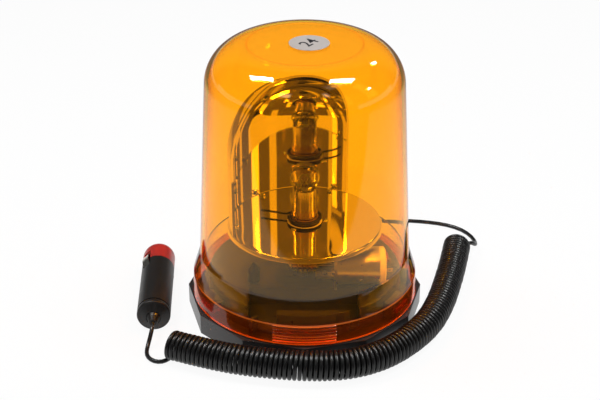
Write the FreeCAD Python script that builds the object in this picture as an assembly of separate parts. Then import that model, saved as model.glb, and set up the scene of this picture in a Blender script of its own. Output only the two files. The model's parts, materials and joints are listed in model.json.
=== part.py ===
"""Rotating amber beacon with a magnetic foot, a curly lead and a vehicle socket plug.

Millimetres, +Z up.  The origin is the middle of the foot, on the surface it stands on.
-Y is the front, where the deck well and one finger grip of the lens are.
Each function makes one sub-part; the table at the end names the nodes.
"""
import FreeCAD
import Part
import math
import os

V = FreeCAD.Vector
UP = V(0, 0, 1)
FULL_TURN = 360.0

# ---------------------------------------------------------------- base housing
base_sides = 12
base_corner_radius = 77.0
foot_clearance = 0.8            # the rim stands this far above the floor
ledge_height = 14.3
deck_height = 30.0
base_wall = 2.5
deck_gap = 0.5                  # between the drum and the inside of the lens's waist
well_left, well_right = -35.0, 34.0
well_back = -29.0
well_depth = 13.0
latch_left, latch_right = -17.0, 28.0
latch_depth = 7.3
latch_slot = 1.6
fit_gap = 0.3                   # between pieces that move past each other
seat_gap = 0.1                  # running gap along an axis

# ---------------------------------------------------------------- foot and magnet
pad_radius = 32.5
pad_thickness = 1.5
pad_rim = 0.5                   # the pad stands this far out from the cup
cup_height = 10.0
cup_wall = 2.0
magnet_fit = 0.4
magnet_inner_radius = 10.0
cup_screws = 3
cup_screw_circle_radius = 20.0
cup_screw_radius = 2.0
boss_radius = 4.2
plate_thickness = 2.0
plate_gap = 0.2
plate_screws = 4
plate_screw_inset = 1.3         # from the drum's wall towards the axis
plate_screw_radius = 1.5
screw_head_ratio = 1.9          # head radius over shank radius
screw_head_height = 1.6

# ---------------------------------------------------------------- lens
gasket_height = 0.6
gasket_width = 3.4
lens_wall = 2.5
lens_height = 185.5             # flat top of the lens
lens_inset = 0.576              # the foot stands this far inside the base's flats
skirt_taper = 1.0
waist_taper = 6.5
lens_crease_height = 28.7
lens_waist_height = 43.0
lens_draft = 2.03               # degrees
lens_shoulder_radius = 26.0
grips = 3
grip_half_angle = 15.8
grip_ribs = 6
grip_rib_pitch = 2.0
grip_rib_height = 1.0
grip_rib_depth = 0.9
grip_lift = 1.4                 # first rib above the lens foot
front_angle = -90.0

# bayonet between base and lens
locks = 3
lock_angle = -30.0
lug_half_angle = 6.0
lug_gap = 2.1                   # between a lug's end and the drum
lug_height = 3.0
lug_lift = 3.4                  # above the lens foot
hook_half_angle = 7.0
hook_gap = 0.9                  # between a hook and the inside of the skirt
hook_thickness = 3.0
stop_angle = 1.6                # angular thickness of a stop rib
stop_clearance = 0.6            # degrees
twist_range = 24.0

# rating label
label_radius = 12.5
label_thickness = 0.3
label_offset = 2.6

# ---------------------------------------------------------------- lamp post and holder
post_radius = 6.0
post_bore = 4.2
post_flange_radius = 10.5
post_flange_thickness = 1.0
washer_thickness = 0.6
nut_across_flats = 19.0
nut_height = 4.0
holder_drop = 7.3               # holder's bottom below the disc
holder_rise = 9.2               # holder's top above the disc
holder_radius = 8.2
holder_floor = 1.5
cap_radius = 7.5
cap_clearance = 0.12
cap_drop = 0.3                  # cap's bottom below the disc
cap_wall = 0.5
pin_reach = 1.0
pin_radius = 1.0
pin_lift = 6.0                  # bayonet pins above the cap's bottom
insulator_thickness = 2.0
contact_radius = 1.5
glass_radius = 9.6
glass_wall = 0.6
light_height = 32.7             # filament above the disc
light_to_cap = 9.0
light_to_glass_top = 8.5
stem_height = 4.0
stem_sink = 1.0
filament_half_width = 3.0
filament_wire_radius = 0.3

# ---------------------------------------------------------------- rotor
hub_fit = 0.05
hub_radius = 9.0
hub_head_radius = 11.35
hub_head_bore = 8.8
hub_head_lead = 3.0             # hub's head begins this far below the holder
hub_stand = 3.5                 # and ends this far above the disc
clip_wire_radius = 0.7
clip_mouth = 15.0               # degrees left open
clip_tail_length = 19.0
clip_tail_angle = 163.0         # degrees from +X
clip_corners = 24
hub_flange_radius = 16.0
hub_flange_thickness = 1.5
disc_clearance = 5.2            # over the motor
disc_margin = 0.2               # outside the mirror's lip
disc_thickness = 1.2
disc_rim_depth = 3.4
rivets = 3
rivet_circle = 13.7
rivet_radius = 1.0
reflector_radius = 49.0
reflector_sheet = 0.8
reflector_lip = 1.0
reflector_straight = 50.2
reflector_setback = 12.4
reflector_facing = -50.4        # direction the mirror faces, degrees from +X
tab_length = 6.0
tab_width = 9.0
tab_angles = (-62.0, 0.0, 62.0)

# worm gear
gear_module = 1.0
wheel_teeth = 36
wheel_face = 4.0
wheel_rim = 2.6
wheel_web = 2.0
worm_pitch_radius = 4.0
worm_turns = 4
tooth_gap = 0.5
dedendum_ratio = 1.25

# ---------------------------------------------------------------- motor
motor_radius = 12.2
motor_front = 20.5
motor_to_lens = 2.56            # from the motor's end to the inside of the lens's waist
motor_can_wall = 0.8
motor_cap_length = 4.0
motor_boss_radius = 3.0
motor_boss_length = 1.2
shaft_radius = 1.0
shaft_fit = 0.06
armature_radius = 8.8
magnet_gap = 0.5
terminal_length = 4.0
terminal_offset = 6.0
terminal_thickness = 0.5
bracket_thickness = 1.5
bracket_half_width = 10.0
bracket_foot_length = 12.0
bracket_foot_width = 6.0
bracket_screw_offset = 7.5
small_screw_radius = 1.1

# suppressor
capacitor_x, capacitor_y = -32.5, -22.0
capacitor_radius = 4.0
capacitor_height = 15.0

# inner wires
wire_radius = 0.8
wire_hole_x, wire_hole_y = 46.0, 8.0
wire_hole_radius = 1.6
wire_boss_radius = 3.0
wire_boss_height = 0.5

# ---------------------------------------------------------------- cord
cord_radius = 1.4
coil_radius = 9.55
cord_exit_angle = 75.0          # middle of a rear face of the base
cord_exit_height = 7.4
grommet_length = 8.0
grommet_tip_radius = 2.3
grommet_flange_radius = 5.2
grommet_flange_thickness = 1.8
grommet_neck_radius = 3.2
grommet_lip = 1.6               # inner lip, along the axis and beyond the neck

# chosen by hand along the cord as it lies
base_lead_points = [
    (23.4, 87.32, 7.4), (27.5, 95.6, 4.8), (35.5, 104.0, 1.9), (47.5, 109.2, 1.5),
    (62.0, 111.2, 1.5), (77.0, 110.9, 1.5), (92.0, 108.6, 1.5), (105.0, 104.6, 1.5),
    (115.5, 97.2, 1.5), (121.6, 86.6, 1.5), (123.0, 75.6, 2.4), (121.0, 66.6, 6.6),
    (115.6, 61.2, 12.6), (108.6, 58.6, 15.4)]
coil_points = [
    (-83.0, -65.0, 9.55), (-66.0, -72.5, 9.55), (-44.0, -80.5, 9.55), (-20.0, -85.5, 9.55),
    (4.0, -88.2, 9.55), (27.0, -86.4, 9.55), (48.0, -76.6, 9.55), (65.0, -60.5, 9.55),
    (79.5, -40.5, 9.55), (89.5, -15.5, 9.55), (96.6, 11.0, 9.55), (102.6, 36.0, 9.55),
    (107.6, 60.7, 9.55)]
plug_lead_points = [
    (-96.76, -46.39, 10.9), (-97.7, -51.2, 7.2), (-99.2, -56.0, 2.6), (-99.6, -61.8, 1.5),
    (-97.9, -67.6, 1.5), (-93.6, -71.8, 1.5), (-88.4, -72.2, 1.5), (-84.6, -68.8, 1.6),
    (-82.2, -64.6, 2.4)]

# ---------------------------------------------------------------- plug
plug_rear = V(-97.2, -36.4, 10.9)
plug_axis = V(-0.0439, 0.999, 0.0)
plug_radius = 10.9
plug_wall = 2.0
plug_cap_length = 6.0
plug_cap_land = 0.7             # flat left round the strain relief
plug_cap_rise = 2.4             # shallow cone between the flat and the rim
plug_cap_round = 1.2            # at the rim
plug_body_end = 61.0
plug_nose_length = 22.5
plug_nose_collar = 13.0
plug_bore = 3.4
pin_stand = 4.0
pin_fit = 0.3
pin_collar_radius = 4.6
pin_collar_height = 2.0
fuse_radius = 3.0
fuse_length = 26.0
spring_wire = 0.45
spring_turns = 4
spring_steps = 12               # corners per turn, rounded off by arcs
spring_fit = 0.6                # inside the fuse's radius
contact_slot_length = 18.4
contact_slot_margin = -9.4      # short of the barrel's end; it runs on into the nose
contact_slot_width = 6.4
contact_width = 5.4
contact_sheet = 0.5
contact_bulge = 1.1
contact_tuck = 0.8              # the strip's ends reach this far under the barrel
contact_sink = 1.7              # and lie this far below its bore
contact_tilt = 45.0             # from straight up, towards -X
relief_length = 6.0
relief_root_radius = 4.4
relief_tip_radius = 2.6


# ================================================================ helpers
def polar(radius, degrees, z=0.0):
    """A point at a radius and an angle about Z."""
    a = math.radians(degrees)
    return V(radius * math.cos(a), radius * math.sin(a), z)


def box(x0, x1, y0, y1, z0, z1):
    return Part.makeBox(x1 - x0, y1 - y0, z1 - z0, V(x0, y0, z0))


def rod(radius, z0, z1, at=V(0, 0, 0)):
    """An upright cylinder whose axis passes through `at`."""
    return Part.makeCylinder(radius, z1 - z0, V(at.x, at.y, z0))


def ring(outer, inner, z0, z1, at=V(0, 0, 0)):
    return rod(outer, z0, z1, at).cut(rod(inner, z0 - 1, z1 + 1, at))


def prism(sides, corner_radius, z0, z1, turn=0.0, at=V(0, 0, 0)):
    """An upright prism on a regular polygon."""
    step = FULL_TURN / sides
    corners = [polar(corner_radius, turn + i * step, z0) + V(at.x, at.y, 0) for i in range(sides)]
    return Part.Face(Part.makePolygon(corners + corners[:1])).extrude(UP * (z1 - z0))


def lathe(profile):
    """Turn a closed (radius, height) outline about Z."""
    points = [V(r, 0, z) for r, z in profile]
    return Part.Face(Part.makePolygon(points + points[:1])).revolve(V(0, 0, 0), UP, FULL_TURN)


def lathe_edges(edges):
    return Part.Face(Part.Wire(Part.sortEdges(edges)[0])).revolve(V(0, 0, 0), UP, FULL_TURN)


def line(a, b):
    return Part.LineSegment(V(a[0], 0, a[1]), V(b[0], 0, b[1])).toShape()


def arc(a, middle, b):
    return Part.Arc(*(V(p[0], 0, p[1]) for p in (a, middle, b))).toShape()


def on_circle(centre, radius, degrees):
    """A (radius, height) point on a circle in the turning plane."""
    a = math.radians(degrees)
    return (centre[0] + radius * math.cos(a), centre[1] + radius * math.sin(a))


def sector(outer, inner, z0, z1, start, end):
    """Part of a ring, between two angles in degrees."""
    wedge = Part.makeCylinder(outer, z1 - z0, V(0, 0, z0), UP, end - start)
    wedge = wedge.cut(rod(inner, z0 - 1, z1 + 1))
    wedge.rotate(V(0, 0, 0), UP, start)
    return wedge


def turned(shape, degrees, about=V(0, 0, 0), axis=UP):
    copy = shape.copy()
    copy.rotate(about, axis, degrees)
    return copy


def spread(shape, count, start=0.0):
    """Copies of a shape evenly round Z, the first turned by `start`."""
    return [turned(shape, start + i * FULL_TURN / count) for i in range(count)]


def laid(shape, origin, axis):
    """Move a shape made along +Z so that its axis runs from `origin` along `axis`."""
    copy = shape.copy()
    copy.Placement = FreeCAD.Placement(origin, FreeCAD.Rotation(UP, axis)).multiply(copy.Placement)
    return copy


def fused(shapes):
    return shapes[0].multiFuse(shapes[1:]).removeSplitter()


def group(shapes):
    return Part.makeCompound(shapes)


def bend_radius(before, corner, after):
    """As large an arc as the two runs at a corner allow."""
    run_in, run_out = corner - before, after - corner
    half_turn = run_in.getAngle(run_out) / 2
    return 0.45 * min(run_in.Length, run_out.Length) / math.tan(half_turn)


def path(points):
    """Straight runs joined by tangent arcs."""
    edges = []
    last = points[0]
    for before, corner, after in zip(points, points[1:], points[2:]):
        to_before = (before - corner).normalize()
        to_after = (after - corner).normalize()
        half_turn = (corner - before).getAngle(after - corner) / 2
        radius = bend_radius(before, corner, after)
        reach = radius * math.tan(half_turn)
        bisector = (to_before + to_after).normalize()
        centre = corner + bisector * (radius / math.cos(half_turn))
        start, end = corner + to_before * reach, corner + to_after * reach
        edges.append(Part.LineSegment(last, start).toShape())
        edges.append(Part.Arc(start, centre - bisector * radius, end).toShape())
        last = end
    edges.append(Part.LineSegment(last, points[-1]).toShape())
    return Part.Wire(edges)


def tube(points, radius, name=None):
    """A solid round tube along a path; names and checks itself when it is a cord."""
    points = [V(*p) for p in points]
    spine = path(points)
    rim = Part.Wire(Part.Circle(points[0], points[1] - points[0], radius).toShape())
    solid = spine.makePipeShell([rim], True, False)
    if name:
        radii = [bend_radius(*three) for three in zip(points, points[1:], points[2:])]
        ratio = solid.Volume / (math.pi * radius ** 2 * spine.Length)
        print(name, "length %.1f" % spine.Length, "volume ratio %.4f" % ratio,
              "radii", " ".join("%.1f" % r for r in radii))
    return solid


def screw(shank_radius, head_z, tip_z, at=V(0, 0, 0)):
    """A cross-slot screw whose head sits beyond head_z, away from its tip."""
    away = 1 if head_z > tip_z else -1
    head_radius = shank_radius * screw_head_ratio
    top = head_z + away * screw_head_height
    shank = rod(shank_radius, min(head_z, tip_z), max(head_z, tip_z), at)
    head = rod(head_radius, min(head_z, top), max(head_z, top), at)
    slot_depth = 0.5 * screw_head_height
    slot_z = sorted((top, top - away * slot_depth))
    arm, half = 0.7 * head_radius, 0.14 * head_radius
    cross = box(at.x - arm, at.x + arm, at.y - half, at.y + half, *slot_z)
    cross = cross.fuse(box(at.x - half, at.x + half, at.y - arm, at.y + arm, *slot_z))
    return head.fuse(shank).removeSplitter().cut(cross)


# ================================================================ derived levels
rim_bottom = foot_clearance
base_flat_radius = base_corner_radius * math.cos(math.pi / base_sides)
lens_foot_radius = base_flat_radius - lens_inset
lens_crease_radius = lens_foot_radius - skirt_taper
lens_waist_radius = lens_crease_radius - waist_taper
deck_radius = lens_waist_radius - lens_wall - deck_gap
well_floor = deck_height - well_depth
cup_radius = pad_radius - pad_rim
magnet_outer_radius = cup_radius - cup_wall - magnet_fit
plate_screw_circle_radius = deck_radius - plate_screw_inset
deck_underside = deck_height - base_wall
ledge_underside = ledge_height - base_wall
plate_top = rim_bottom + plate_thickness
cup_bottom = pad_thickness
cup_top = cup_bottom + cup_height
gasket_top = ledge_height + gasket_height
lens_bottom = gasket_top + fit_gap
grip_start = lens_bottom + grip_lift
lug_bottom = lens_bottom + lug_lift
lug_inner_radius = deck_radius + lug_gap
hook_outer_radius = lens_crease_radius - lens_wall - hook_gap
post_shelf = deck_height + post_flange_thickness
motor_axis_z = deck_height + motor_radius + fit_gap
wheel_pitch_radius = gear_module * wheel_teeth / 2
worm_axis_y = -(wheel_pitch_radius + worm_pitch_radius)
worm_lead = math.pi * gear_module
motor_end = math.sqrt((lens_waist_radius - lens_wall) ** 2 - (motor_radius - worm_axis_y) ** 2) - motor_to_lens
motor_length = motor_end - motor_front
disc_radius = reflector_radius + reflector_lip + disc_margin
disc_top = motor_axis_z + motor_radius + disc_clearance + disc_rim_depth
disc_bottom = disc_top - disc_thickness
capsule_centre = disc_top + reflector_straight
holder_bottom = disc_top - holder_drop
holder_top = disc_top + holder_rise
cap_bottom = disc_top - cap_drop
pin_height = cap_bottom + pin_lift
filament_height = disc_top + light_height
cap_top = filament_height - light_to_cap
glass_top = filament_height + light_to_glass_top
glass_neck_radius = cap_radius - cap_wall
stem_top = cap_top - stem_sink + stem_height
hub_bottom = post_shelf + washer_thickness + seat_gap
hub_step = holder_bottom - fit_gap - seat_gap
hub_head_bottom = holder_bottom - hub_head_lead
hub_top = disc_top + hub_stand
hub_neck_radius = hub_head_radius - clip_wire_radius * 2
clip_radius = hub_neck_radius + clip_wire_radius
plug_cap_shoulder = plug_cap_rise + plug_cap_round
plug_nose_end = plug_body_end + plug_nose_length
pin_tip = plug_nose_end + pin_stand
pin_shank_radius = plug_bore - pin_fit
contact_slot_end = plug_body_end - contact_slot_margin
contact_slot_start = contact_slot_end - contact_slot_length
spring_radius = fuse_radius - spring_fit
label_top = lens_height + label_thickness


def skirt_radius(z):
    """Outer radius of the lens skirt band at a height."""
    share = (z - lens_bottom) / (lens_crease_height - lens_bottom)
    return lens_foot_radius + share * (lens_crease_radius - lens_foot_radius)


# ================================================================ base
def base_housing():
    inner_radius = deck_radius - base_wall
    inner_corner = base_corner_radius - base_wall / math.cos(math.pi / base_sides)
    body = prism(base_sides, base_corner_radius, rim_bottom, ledge_height)
    body = body.fuse(rod(deck_radius, ledge_height, deck_height)).removeSplitter()
    drum_edge = [e for e in body.Edges
                 if abs(e.BoundBox.ZMin - deck_height) < 1e-6 and e.Curve.TypeId == "Part::GeomCircle"]
    body = body.makeFillet(0.6 * base_wall, drum_edge)
    hollow = prism(base_sides, inner_corner, rim_bottom - 1, ledge_underside)
    hollow = hollow.fuse(rod(inner_radius, ledge_underside - 1, deck_underside))
    body = body.cut(hollow)

    # the well in the deck, and the latch tongue that stands at its front
    drum = rod(deck_radius, well_floor - base_wall, deck_height)
    shell = box(well_left - base_wall, well_right + base_wall, -deck_radius, well_back + base_wall,
                well_floor - base_wall, deck_height).common(drum)
    pocket = box(well_left, well_right, -base_corner_radius, well_back, well_floor, deck_height + 1)
    tongue = box(latch_left, latch_right, -deck_radius, -deck_radius + latch_depth,
                 well_floor, deck_height - fit_gap).common(drum)
    relief = box(latch_left - 1, latch_right + 1, -deck_radius + latch_slot * 2,
                 -deck_radius + latch_slot * 3, well_floor + base_wall, deck_underside)
    body = body.fuse(shell).cut(pocket).fuse(tongue.cut(relief))

    for i in range(cup_screws):
        body = body.fuse(rod(boss_radius, cup_top, deck_underside, cup_screw_place(i)))
    for i in range(plate_screws):
        body = body.fuse(rod(boss_radius, plate_top, ledge_underside + 1, plate_screw_place(i)))

    for turn in range(locks):
        middle = lock_angle + turn * FULL_TURN / locks
        body = body.fuse(hook(middle))
    wire_hole = V(wire_hole_x, wire_hole_y, 0)
    body = body.fuse(rod(wire_boss_radius, deck_underside, deck_height + wire_boss_height, wire_hole))

    holes = [rod(post_radius, 0, deck_height + 1)]
    holes.append(rod(wire_hole_radius, 0, deck_height + 2 * wire_boss_height, wire_hole))
    holes += [rod(cup_screw_radius, cup_top - 1, deck_underside - 1, cup_screw_place(i))
              for i in range(cup_screws)]
    holes += [rod(plate_screw_radius, 0, ledge_underside - 1, plate_screw_place(i))
              for i in range(plate_screws)]
    holes.append(rod(small_screw_radius, deck_underside - 1, deck_height + 1, foot_screw_place()))
    inside = polar(base_flat_radius - 2 * base_wall, cord_exit_angle, cord_exit_height)
    holes.append(Part.makeCylinder(grommet_neck_radius, base_wall * 4, inside, polar(1, cord_exit_angle)))
    return body.cut(group(holes)).removeSplitter()


def hook(middle):
    """A bayonet roof over the lens lug, with a stop at each end of its travel."""
    roof_bottom = lug_bottom + lug_height + fit_gap
    roof_top = roof_bottom + hook_thickness
    inner = deck_radius - 1
    pieces = [sector(hook_outer_radius, inner, roof_bottom, roof_top,
                     middle - hook_half_angle, middle + hook_half_angle)]
    closed_end = middle - lug_half_angle - stop_clearance
    open_end = middle + lug_half_angle + stop_clearance + twist_range
    for start in (closed_end - stop_angle, open_end):
        pieces.append(sector(hook_outer_radius, inner, ledge_height - 0.5, roof_top, start, start + stop_angle))
    return fused(pieces)


def cup_screw_place(i):
    return polar(cup_screw_circle_radius, 30 + i * FULL_TURN / cup_screws)


def plate_screw_place(i):
    return polar(plate_screw_circle_radius, 45 + i * FULL_TURN / plate_screws)


def bottom_plate():
    corner = base_corner_radius - (base_wall + plate_gap) / math.cos(math.pi / base_sides)
    plate = prism(base_sides, corner, rim_bottom, plate_top)
    holes = [rod(pad_radius + plate_gap, 0, plate_top + 1)]
    holes += [rod(plate_screw_radius, 0, plate_top + 1, plate_screw_place(i)) for i in range(plate_screws)]
    head = plate_screw_radius * screw_head_ratio + plate_gap
    holes += [rod(head, 0, plate_top - 0.8, plate_screw_place(i)) for i in range(plate_screws)]
    return plate.cut(group(holes))


def plate_screw_set():
    head_face = plate_top - 0.8
    small_head = head_face - rim_bottom - plate_gap
    screws = []
    for i in range(plate_screws):
        at = plate_screw_place(i)
        head = rod(plate_screw_radius * screw_head_ratio, head_face - small_head, head_face, at)
        screws.append(head.fuse(rod(plate_screw_radius, head_face, ledge_underside - 1, at)))
    return group(screws)


def magnet_pad():
    return ring(pad_radius, magnet_inner_radius, 0, pad_thickness)


def magnet_cup():
    cup = rod(cup_radius, cup_bottom, cup_top)
    cup = cup.cut(rod(cup_radius - cup_wall, cup_bottom - 1, cup_top - cup_wall))
    holes = [countersunk(cup_screw_place(i)) for i in range(cup_screws)]
    return cup.cut(group(holes))


def countersunk(at):
    """The outline of a countersunk cup screw's head and shank."""
    head = Part.makeCone(cup_screw_radius * screw_head_ratio, cup_screw_radius, cup_wall,
                         V(at.x, at.y, cup_top - cup_wall))
    return head.fuse(rod(cup_screw_radius, cup_top, cup_top + 1, at))


def magnet_ring():
    return ring(magnet_outer_radius, magnet_inner_radius, cup_bottom, cup_top - cup_wall)


def cup_screw_set():
    screws = []
    for i in range(cup_screws):
        at = cup_screw_place(i)
        head = Part.makeCone(cup_screw_radius * screw_head_ratio, cup_screw_radius, cup_wall,
                             V(at.x, at.y, cup_top - cup_wall))
        screws.append(head.fuse(rod(cup_screw_radius, cup_top, deck_underside - 2, at)))
    return group(screws)


def lens_gasket():
    outer = lens_foot_radius
    return ring(outer, outer - gasket_width, ledge_height, gasket_top)


# ================================================================ lens
def lens_outline(inset):
    """Outer wall outline of the lens from crease to top, set in by a wall."""
    draft = math.radians(lens_draft)
    shoulder_z = lens_height - lens_shoulder_radius
    tangent_z = shoulder_z + lens_shoulder_radius * math.sin(draft)
    wall_radius = lens_waist_radius - math.tan(draft) * (tangent_z - lens_waist_height)
    centre = (wall_radius - lens_shoulder_radius * math.cos(draft), shoulder_z)
    radius = lens_shoulder_radius - inset
    below = on_circle(centre, radius, lens_draft)
    middle = on_circle(centre, radius, 45)
    above = on_circle(centre, radius, 90)
    waist = (lens_waist_radius - inset, lens_waist_height)
    crease = (lens_crease_radius - inset, lens_crease_height - 0.4 * inset)
    foot = (lens_foot_radius - inset, lens_bottom)
    edges = [line(foot, crease), line(crease, waist), line(waist, below), arc(below, middle, above),
             line(above, (0, lens_height - inset))]
    return foot, edges


def lens():
    outer_foot, outer = lens_outline(0)
    inner_foot, inner = lens_outline(lens_wall)
    closing = [line(outer_foot, inner_foot), line((0, lens_height), (0, lens_height - lens_wall))]
    shell = lathe_edges(outer + inner + closing)
    ribs = []
    for turn in range(grips):
        middle = front_angle + turn * FULL_TURN / grips
        for row in range(grip_ribs):
            z = grip_start + row * grip_rib_pitch
            reach = skirt_radius(z + grip_rib_height / 2) + grip_rib_depth
            ribs.append(sector(reach, reach - 2 * grip_rib_depth, z, z + grip_rib_height,
                               middle - grip_half_angle, middle + grip_half_angle))
    lugs = []
    for turn in range(locks):
        middle = lock_angle + turn * FULL_TURN / locks
        lugs.append(sector(skirt_radius(lug_bottom) - 0.5 * lens_wall, lug_inner_radius,
                           lug_bottom, lug_bottom + lug_height,
                           middle - lug_half_angle, middle + lug_half_angle))
    return shell.multiFuse(ribs + lugs).removeSplitter()


def rating_label():
    return rod(label_radius, lens_height, label_top, V(label_offset, 0, 0))


# ================================================================ lamp post, holder and lamp
def lamp_post():
    post = ring(post_radius, post_bore, deck_underside - nut_height - 1, holder_bottom + holder_floor)
    return post.fuse(ring(post_flange_radius, post_bore, deck_height, post_shelf)).removeSplitter()


def post_nut():
    corner = nut_across_flats / 2 / math.cos(math.pi / 6)
    nut = prism(6, corner, deck_underside - nut_height, deck_underside)
    return nut.cut(rod(post_radius, 0, deck_height))


def thrust_washer():
    return ring(post_flange_radius - 0.5, post_radius, post_shelf, post_shelf + washer_thickness)


def lamp_holder():
    bore = cap_radius + cap_clearance
    holder = ring(holder_radius, bore, holder_bottom, holder_top)
    holder = holder.fuse(ring(holder_radius, post_radius, holder_bottom, holder_bottom + holder_floor))
    half = pin_radius + 0.1
    slots = []
    for side in (1, -1):
        slot = box(0, holder_radius + 1, -half, half, pin_height - pin_radius, holder_top + 1)
        slots.append(turned(slot, 0 if side > 0 else 180))
    return holder.removeSplitter().cut(group(slots))


def holder_insulator():
    bottom = cap_bottom - 1.6 - insulator_thickness
    return ring(cap_radius + cap_clearance, contact_radius, bottom, bottom + insulator_thickness)


def holder_contact():
    bottom = cap_bottom - 2.4 - insulator_thickness
    return rod(contact_radius, bottom, cap_bottom - 0.6)


def lamp_cap():
    outer = [(0, cap_bottom - 0.6), (2.0, cap_bottom - 0.6), (2.0, cap_bottom), (5.4, cap_bottom),
             (cap_radius, cap_bottom + 2.4), (cap_radius, cap_top), (cap_radius - cap_wall, cap_top),
             (cap_radius - cap_wall, cap_bottom + 3.2), (0, cap_bottom + 3.2)]
    cap = lathe(outer)
    pins = Part.makeCylinder(pin_radius, 2 * (cap_radius + pin_reach),
                             V(-(cap_radius + pin_reach), 0, pin_height), V(1, 0, 0))
    pins = pins.cut(rod(cap_radius - cap_wall, 0, cap_top))
    return cap.fuse(pins).removeSplitter()


def lamp_glass():
    centre_z = glass_top - glass_radius
    inner = glass_radius - glass_wall
    neck_in = glass_neck_radius - glass_wall
    shift_out = math.sqrt(glass_radius ** 2 - glass_neck_radius ** 2)
    shift_in = math.sqrt(inner ** 2 - neck_in ** 2)
    bottom = cap_top - 2.0
    outer_neck = (glass_neck_radius, centre_z - shift_out)
    inner_neck = (neck_in, centre_z - shift_in)
    edges = [line((0, bottom), (glass_neck_radius, bottom)),
             line((glass_neck_radius, bottom), outer_neck),
             arc(outer_neck, (glass_radius, centre_z), (0, glass_top)),
             line((0, glass_top), (0, glass_top - glass_wall)),
             arc((0, glass_top - glass_wall), (inner, centre_z), inner_neck),
             line(inner_neck, (neck_in, bottom + 1.0)),
             line((neck_in, bottom + 1.0), (0, bottom + 1.0)),
             line((0, bottom + 1.0), (0, bottom))]
    return lathe_edges(edges)


def lamp_stem():
    return Part.makeCone(2.6, 1.6, stem_height, V(0, 0, cap_top - stem_sink))


def lamp_filament():
    w, z = filament_half_width, filament_height
    left = [(-w * 0.4, 0, stem_top), (-w * 0.4, 0, stem_top + 1), (-w, 0, stem_top + 3.4), (-w, 0, z - 1.6),
            (-w * 0.45, 0, z + 0.4)]
    right = [(-x, y, level) for x, y, level in reversed(left)]
    return tube(left + right, filament_wire_radius)


# ================================================================ rotor
def hub():
    bore = post_radius + hub_fit
    flange_bottom = disc_bottom - hub_flange_thickness
    bush = lathe([(bore, hub_bottom), (hub_radius, hub_bottom), (hub_radius, hub_head_bottom),
                  (hub_head_radius, hub_head_bottom), (hub_head_radius, flange_bottom),
                  (hub_flange_radius, flange_bottom), (hub_flange_radius, disc_bottom),
                  (hub_head_radius, disc_bottom), (hub_head_radius, disc_top), (hub_neck_radius, disc_top),
                  (hub_neck_radius, hub_top), (hub_head_bore, hub_top), (hub_head_bore, hub_step),
                  (bore, hub_step)])
    holes = spread(rod(rivet_radius, flange_bottom - 1, disc_bottom + 1, V(rivet_circle, 0, 0)), rivets)
    return bush.cut(group(holes))


def hub_clip():
    """A round wire clip on the hub's neck, with a long tail to take it off by."""
    level = hub_top - clip_wire_radius
    step = (FULL_TURN - clip_mouth) / clip_corners
    corner_radius = clip_radius / math.cos(math.radians(step / 2))
    first = clip_tail_angle - clip_mouth / 2
    loop = [polar(corner_radius, first - (i + 0.5) * step, level) for i in range(clip_corners)]
    elbow = polar(clip_radius + 2 * clip_wire_radius, clip_tail_angle, level)
    tail_end = polar(clip_radius + clip_tail_length, clip_tail_angle, level)
    return tube([tail_end, elbow] + loop, clip_wire_radius)


def turntable():
    disc = ring(disc_radius, hub_head_radius, disc_bottom, disc_top)
    rim = ring(disc_radius, disc_radius - disc_thickness, disc_top - disc_rim_depth, disc_top)
    disc = disc.fuse(rim).removeSplitter()
    edge = [e for e in disc.Edges if e.Curve.TypeId == "Part::GeomCircle"
            and abs(e.Curve.Radius - disc_radius) < 1e-6 and abs(e.BoundBox.ZMin - disc_top) < 1e-6]
    disc = disc.makeFillet(0.6 * disc_thickness, edge)
    holes = spread(rod(rivet_radius, disc_bottom - 1, disc_top + 1, V(rivet_circle, 0, 0)), rivets)
    holes += [rod(rivet_radius, disc_bottom - 1, disc_top + 1, tab_hole(a)) for a in tab_angles]
    return disc.cut(group(holes))


def rivet(at, z0, z1):
    """A tubular rivet closed on both faces of a stack."""
    head = 1.8 * rivet_radius
    parts = [rod(rivet_radius, z0, z1, at), rod(head, z1, z1 + 0.5, at), rod(head, z0 - 0.5, z0, at)]
    return fused(parts)


def hub_rivets():
    low = disc_bottom - hub_flange_thickness
    return group(spread(rivet(V(rivet_circle, 0, 0), low, disc_top), rivets))


def capsule(radius):
    """A round-topped solid that stands on the turntable."""
    body = rod(radius, disc_top, capsule_centre)
    dome = Part.makeSphere(radius, V(0, 0, capsule_centre), UP, 0, 90, FULL_TURN)
    return body.fuse(dome).removeSplitter()


def behind(distance):
    """A half space behind the mirror's opening plane, in the mirror's own direction (+X)."""
    size = 2 * reflector_radius
    return box(-size, -distance, -size, size, 0, 2 * lens_height)


def tab_hole(angle):
    reach = reflector_radius - reflector_sheet - 0.6 * tab_length
    return polar(reach, reflector_facing + 180 + angle)


def reflector():
    inner = reflector_radius - reflector_sheet
    shell = capsule(reflector_radius).cut(capsule(inner)).common(behind(reflector_setback))
    slab = behind(reflector_setback).cut(behind(reflector_setback + reflector_sheet))
    lip = capsule(reflector_radius + reflector_lip).cut(capsule(inner)).common(slab)
    parts = [shell, lip]
    for angle in tab_angles:
        tab = box(inner - tab_length, inner + 0.3, -tab_width / 2, tab_width / 2,
                  disc_top, disc_top + reflector_sheet)
        parts.append(turned(tab, 180 + angle).common(rod(reflector_radius, 0, lens_height)))
    body = turned(fused(parts), reflector_facing)
    holes = [rod(rivet_radius, disc_top - 1, disc_top + 2, tab_hole(a)) for a in tab_angles]
    return body.cut(group(holes))


def reflector_rivets():
    return group([rivet(tab_hole(a), disc_bottom, disc_top + reflector_sheet) for a in tab_angles])


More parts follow.
